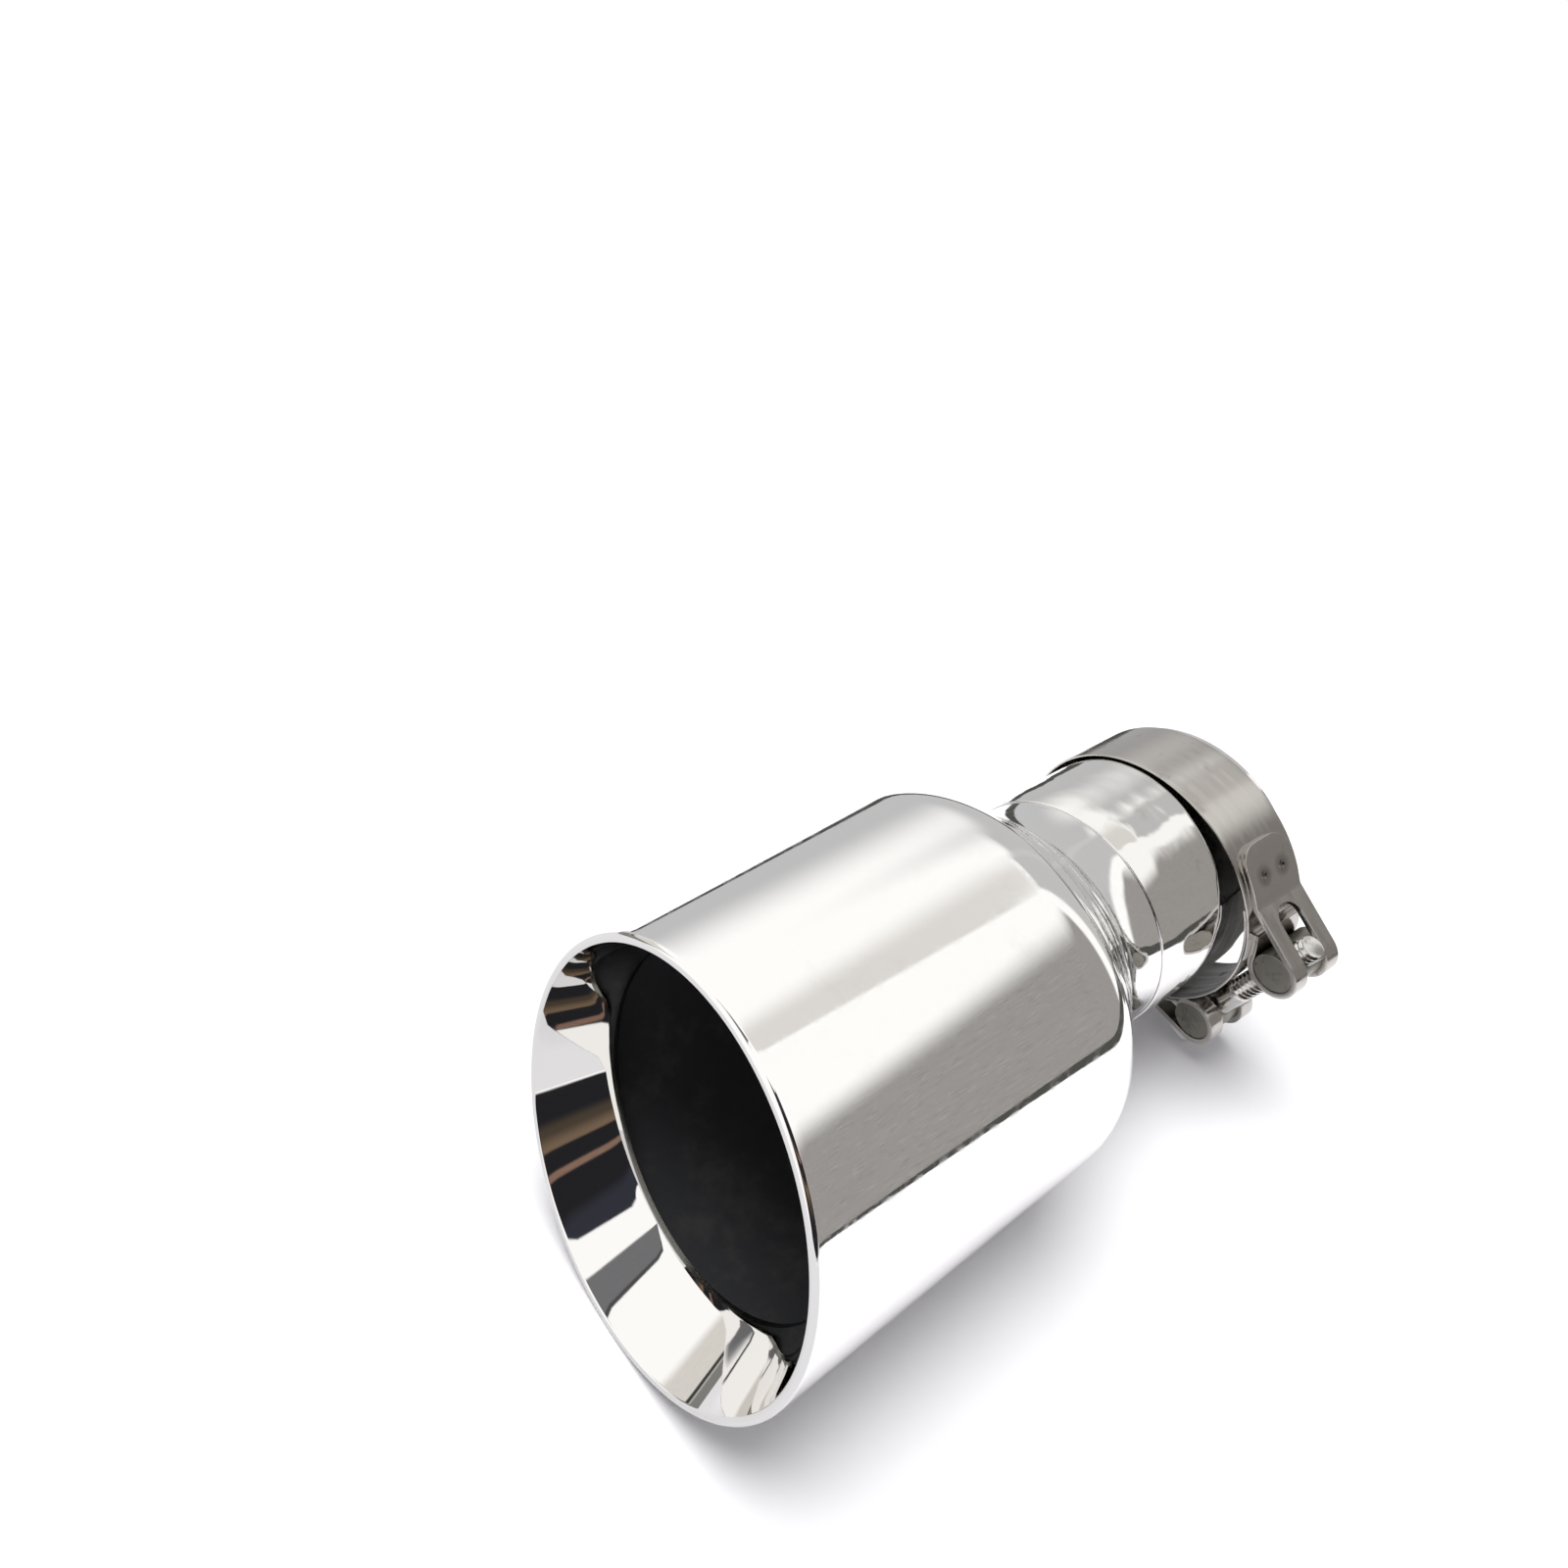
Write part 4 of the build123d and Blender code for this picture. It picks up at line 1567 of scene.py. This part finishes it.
@dataclass
class Studio:
    """Floor, soft light and the room that the polish shows."""

    floor_height: float = -50.8 * MM
    floor_reach: float = 3.0
    floor_colour: Colour = (0.88, 0.875, 0.90)
    border_colour: Colour = (0.06, 0.06, 0.055)
    sheet_edge: float = -100.0 * MM
    sheet_border: float = 100.0 * MM
    # Painted shadow on the sheet's near side, seen only in reflections: its span along X and the
    # brightness it leaves.
    near_shadow_span: tuple[float, float] = (175.0 * MM, 215.0 * MM)
    near_shadow_level: float = 0.68
    light_level: Colour = (0.40, 0.40, 0.404)
    lamp_strength: float = 3.2
    lamp_spread: float = 43.0
    lamp_colour: Colour = (1.0, 0.995, 0.985)
    lamp_from: tuple[float, float, float] = (0.02, -0.08, 1.1)
    room_colour: Colour = (1.12, 1.11, 1.09)
    cloth_scale: float = 130.0
    patches: tuple[RoomPatch, ...] = (
        RoomPatch((0.57, 0.57, 0.575), (22.0, 80.0), (-90.0, 20.0), (8.0, 8.0), (1.0, 15.0)),
        RoomPatch((0.575, 0.57, 0.57), (12.0, 36.0), (-90.0, 40.0), (4.0, 12.0), (1.0, 5.0)),
        RoomPatch((0.58, 0.575, 0.57), (-11.0, 14.0), (-90.0, 45.0), (2.0, 4.0), (1.0, 1.5)),
        RoomPatch((0.79, 0.765, 0.73), (-15.0, 12.0), (47.0, 76.0), (1.5, 12.0), (2.0, 8.0)),
        RoomPatch((0.35, 0.335, 0.32), (-72.0, -22.0), (-90.0, 35.5), (5.0, 2.0), (1.0, 6.0), 0.35),
        RoomPatch((0.74, 0.71, 0.66), (82.0, 125.0), (-90.0, 23.0), (2.0, 2.0), (1.0, 3.0), 0.1),
        RoomPatch((0.235, 0.23, 0.214), (82.0, 125.0), (-90.0, 5.5), (2.0, 2.0), (1.0, 1.0)),
        RoomPatch((0.05, 0.05, 0.045), (82.0, 125.0), (6.0, 8.0), (2.0, 2.0), (0.5, 0.5)),
        RoomPatch((0.18, 0.18, 0.187), (136.0, 171.0), (56.0, 91.0), (2.0, 2.0), (2.0, 2.0), 0.1),
        RoomPatch((0.08, 0.08, 0.08), (134.5, 138.0), (50.0, 75.0), (0.8, 0.8), (2.0, 2.0)),
        RoomPatch((0.018, 0.018, 0.021), (-150.0, -72.0), (0.5, 66.5), (1.5, 1.5), (0.8, 0.8)),
        RoomPatch((0.07, 0.053, 0.038), (-149.0, -73.0), (17.0, 28.5), (1.0, 1.0), (3.0, 0.8)),
        RoomPatch((0.19, 0.13, 0.085), (-149.0, -73.0), (24.0, 28.5), (1.0, 1.0), (3.5, 0.8)),
        RoomPatch((0.25, 0.155, 0.115), (-149.0, -73.0), (37.5, 40.5), (1.0, 1.0), (0.8, 0.8), 0.3),
        RoomPatch((0.034, 0.036, 0.048), (-149.0, -73.0), (56.0, 66.0), (1.0, 1.0), (3.0, 0.8)),
    )

    def build(self) -> None:
        """Builds the surroundings."""
        self.build_world()
        self.build_floor()
        self.build_lamp()

    def build_world(self) -> None:
        """Plain light for dull surfaces, white for the camera and a room for reflections."""
        world = bpy.data.worlds.new("studio")
        bpy.context.scene.world = world
        world.use_nodes = True
        world.node_tree.nodes.clear()
        sheet = NodeSheet(world.node_tree)
        way = sheet.add("ShaderNodeTexCoord").outputs["Generated"]
        east, north, up = sheet.separate(way)
        turn = sheet.math("ARCTAN2", sheet.product(north, -1.0), sheet.product(east, -1.0))
        bearing = sheet.product(turn, 180.0 / pi)
        height = sheet.product(sheet.math("ARCSINE", up), 180.0 / pi)
        cloth = sheet.noise(way, self.cloth_scale, 4.0, 0.75)
        colour: object = self.room_colour
        for patch in self.patches:
            colour = self._painted(sheet, patch, colour, bearing, height, cloth)
        room, soft, white = (sheet.out("ShaderNodeBackground", {"Color": shade, "Strength": 1.0})
                             for shade in (colour, self.light_level, (1.0, 1.0, 1.0)))
        rays = sheet.add("ShaderNodeLightPath").outputs
        mirrored = sheet.math("MAXIMUM", rays["Is Glossy Ray"], rays["Is Transmission Ray"])
        reflected = sheet.mix_shader(mirrored, soft, room)
        seen = sheet.mix_shader(rays["Is Camera Ray"], reflected, white)
        sheet.add("ShaderNodeOutputWorld", {"Surface": seen})

    @staticmethod
    def _painted(sheet: NodeSheet, patch: RoomPatch, under: object, bearing: Socket,
                 height: Socket, cloth: Socket) -> Socket:
        """Lays one patch over the room's colour so far.

        Args:
            sheet: The world's sheet.
            patch: The patch.
            under: The colour so far.
            bearing: Bearing of the ray.
            height: Height of the ray.
            cloth: Unevenness of cloth, for patches with a texture.

        Returns:
            The new colour.
        """
        mask: object = 1.0
        for value, (low, high), (low_soft, high_soft) in (
            (bearing, patch.bearing, patch.bearing_soft),
            (height, patch.height, patch.height_soft),
        ):
            rise = sheet.ramp(value, low - low_soft, low + low_soft)
            fall = sheet.ramp(value, high - high_soft, high + high_soft, 1.0, 0.0)
            mask = sheet.product(rise, fall, mask)
        colour: object = patch.colour
        if patch.texture:
            shade = sheet.ramp(cloth, 0.25, 0.75, 1.0 - patch.texture, 1.0 + patch.texture, False)
            colour = sheet.scaled(patch.colour, shade)
        return sheet.mix_colour(mask, under, colour)

    def build_floor(self) -> None:
        """White sheet, which reflections show with a painted shadow on its near side, a border and
        an end.
        """
        mesh = bpy.data.meshes.new("white_sheet")
        reach = self.floor_reach
        sides = ((-reach, -reach), (reach, -reach), (reach, reach), (-reach, reach))
        mesh.from_pydata([(*side, self.floor_height) for side in sides], [], [(0, 1, 2, 3)])
        floor = linked("white_sheet", mesh)
        material, sheet = new_material("white_sheet")
        mesh.materials.append(material)
        along = sheet.separate(sheet.add("ShaderNodeTexCoord").outputs["Object"])[0]
        mirrored = sheet.add("ShaderNodeLightPath").outputs["Is Glossy Ray"]
        seen, shade, border = (sheet.out("ShaderNodeBsdfDiffuse", {"Color": colour})
                               for colour in (self.floor_colour, (0.0,) * 3, self.border_colour))
        # Reflected rays only: a painted shadow darkens the near side, then come the border and the
        # transparent end.
        for share, over in (
            (sheet.ramp(along, *self.near_shadow_span, 0.0, 1.0 - self.near_shadow_level), shade),
            (sheet.math("LESS_THAN", along, self.sheet_edge), border),
            (sheet.math("LESS_THAN", along, self.sheet_edge - self.sheet_border),
             sheet.out("ShaderNodeBsdfTransparent")),
        ):
            seen = sheet.mix_shader(sheet.product(share, mirrored), seen, over)
        sheet.add("ShaderNodeOutputMaterial", {"Surface": seen})

    def build_lamp(self) -> None:
        """One large soft lamp from above, which leaves a faint shadow beside the tip."""
        light = bpy.data.lights.new("soft_lamp", "SUN")
        light.energy = self.lamp_strength
        light.angle = radians(self.lamp_spread)
        light.color = self.lamp_colour
        lamp = linked("soft_lamp", light)
        lamp.rotation_euler = (-Vector(self.lamp_from)).to_track_quat("-Z", "Y").to_euler()
        lamp.visible_glossy = False


@dataclass(frozen=True)
class ViewPoint:
    """The photograph's camera."""

    location: tuple[float, float, float] = (0.30427, 0.128137, 0.242013)
    turn: tuple[float, float, float] = (56.4886, -3.4906, 142.0271)
    focal_length: float = 29.4614
    sensor: float = 36.0
    shift: tuple[float, float] = (0.061976, -0.077051)
    sight: tuple[float, float] = (0.01, 20.0)

    def build(self) -> None:
        """Makes the camera and hands it to the scene."""
        data = bpy.data.cameras.new("photo_camera")
        data.sensor_fit = "HORIZONTAL"
        data.sensor_width = self.sensor
        data.lens = self.focal_length
        data.shift_x, data.shift_y = self.shift
        data.clip_start, data.clip_end = self.sight
        camera = linked("photo_camera", data)
        camera.location = self.location
        camera.rotation_euler = [radians(angle) for angle in self.turn]
        bpy.context.scene.camera = camera


def main() -> None:
    """Builds the tip, the clamp, the studio and the camera."""
    logging.basicConfig(level=logging.INFO, format="%(message)s")
    bpy.context.scene.view_settings.view_transform = "Standard"
    finishes = Finishes()
    wall = SpunWall()
    TipBody(wall, finishes).build()
    BandClamp(wall, BentStrip(), ThreadedRod(), finishes).build()
    Studio().build()
    ViewPoint().build()


if __name__ == "__main__":
    main()
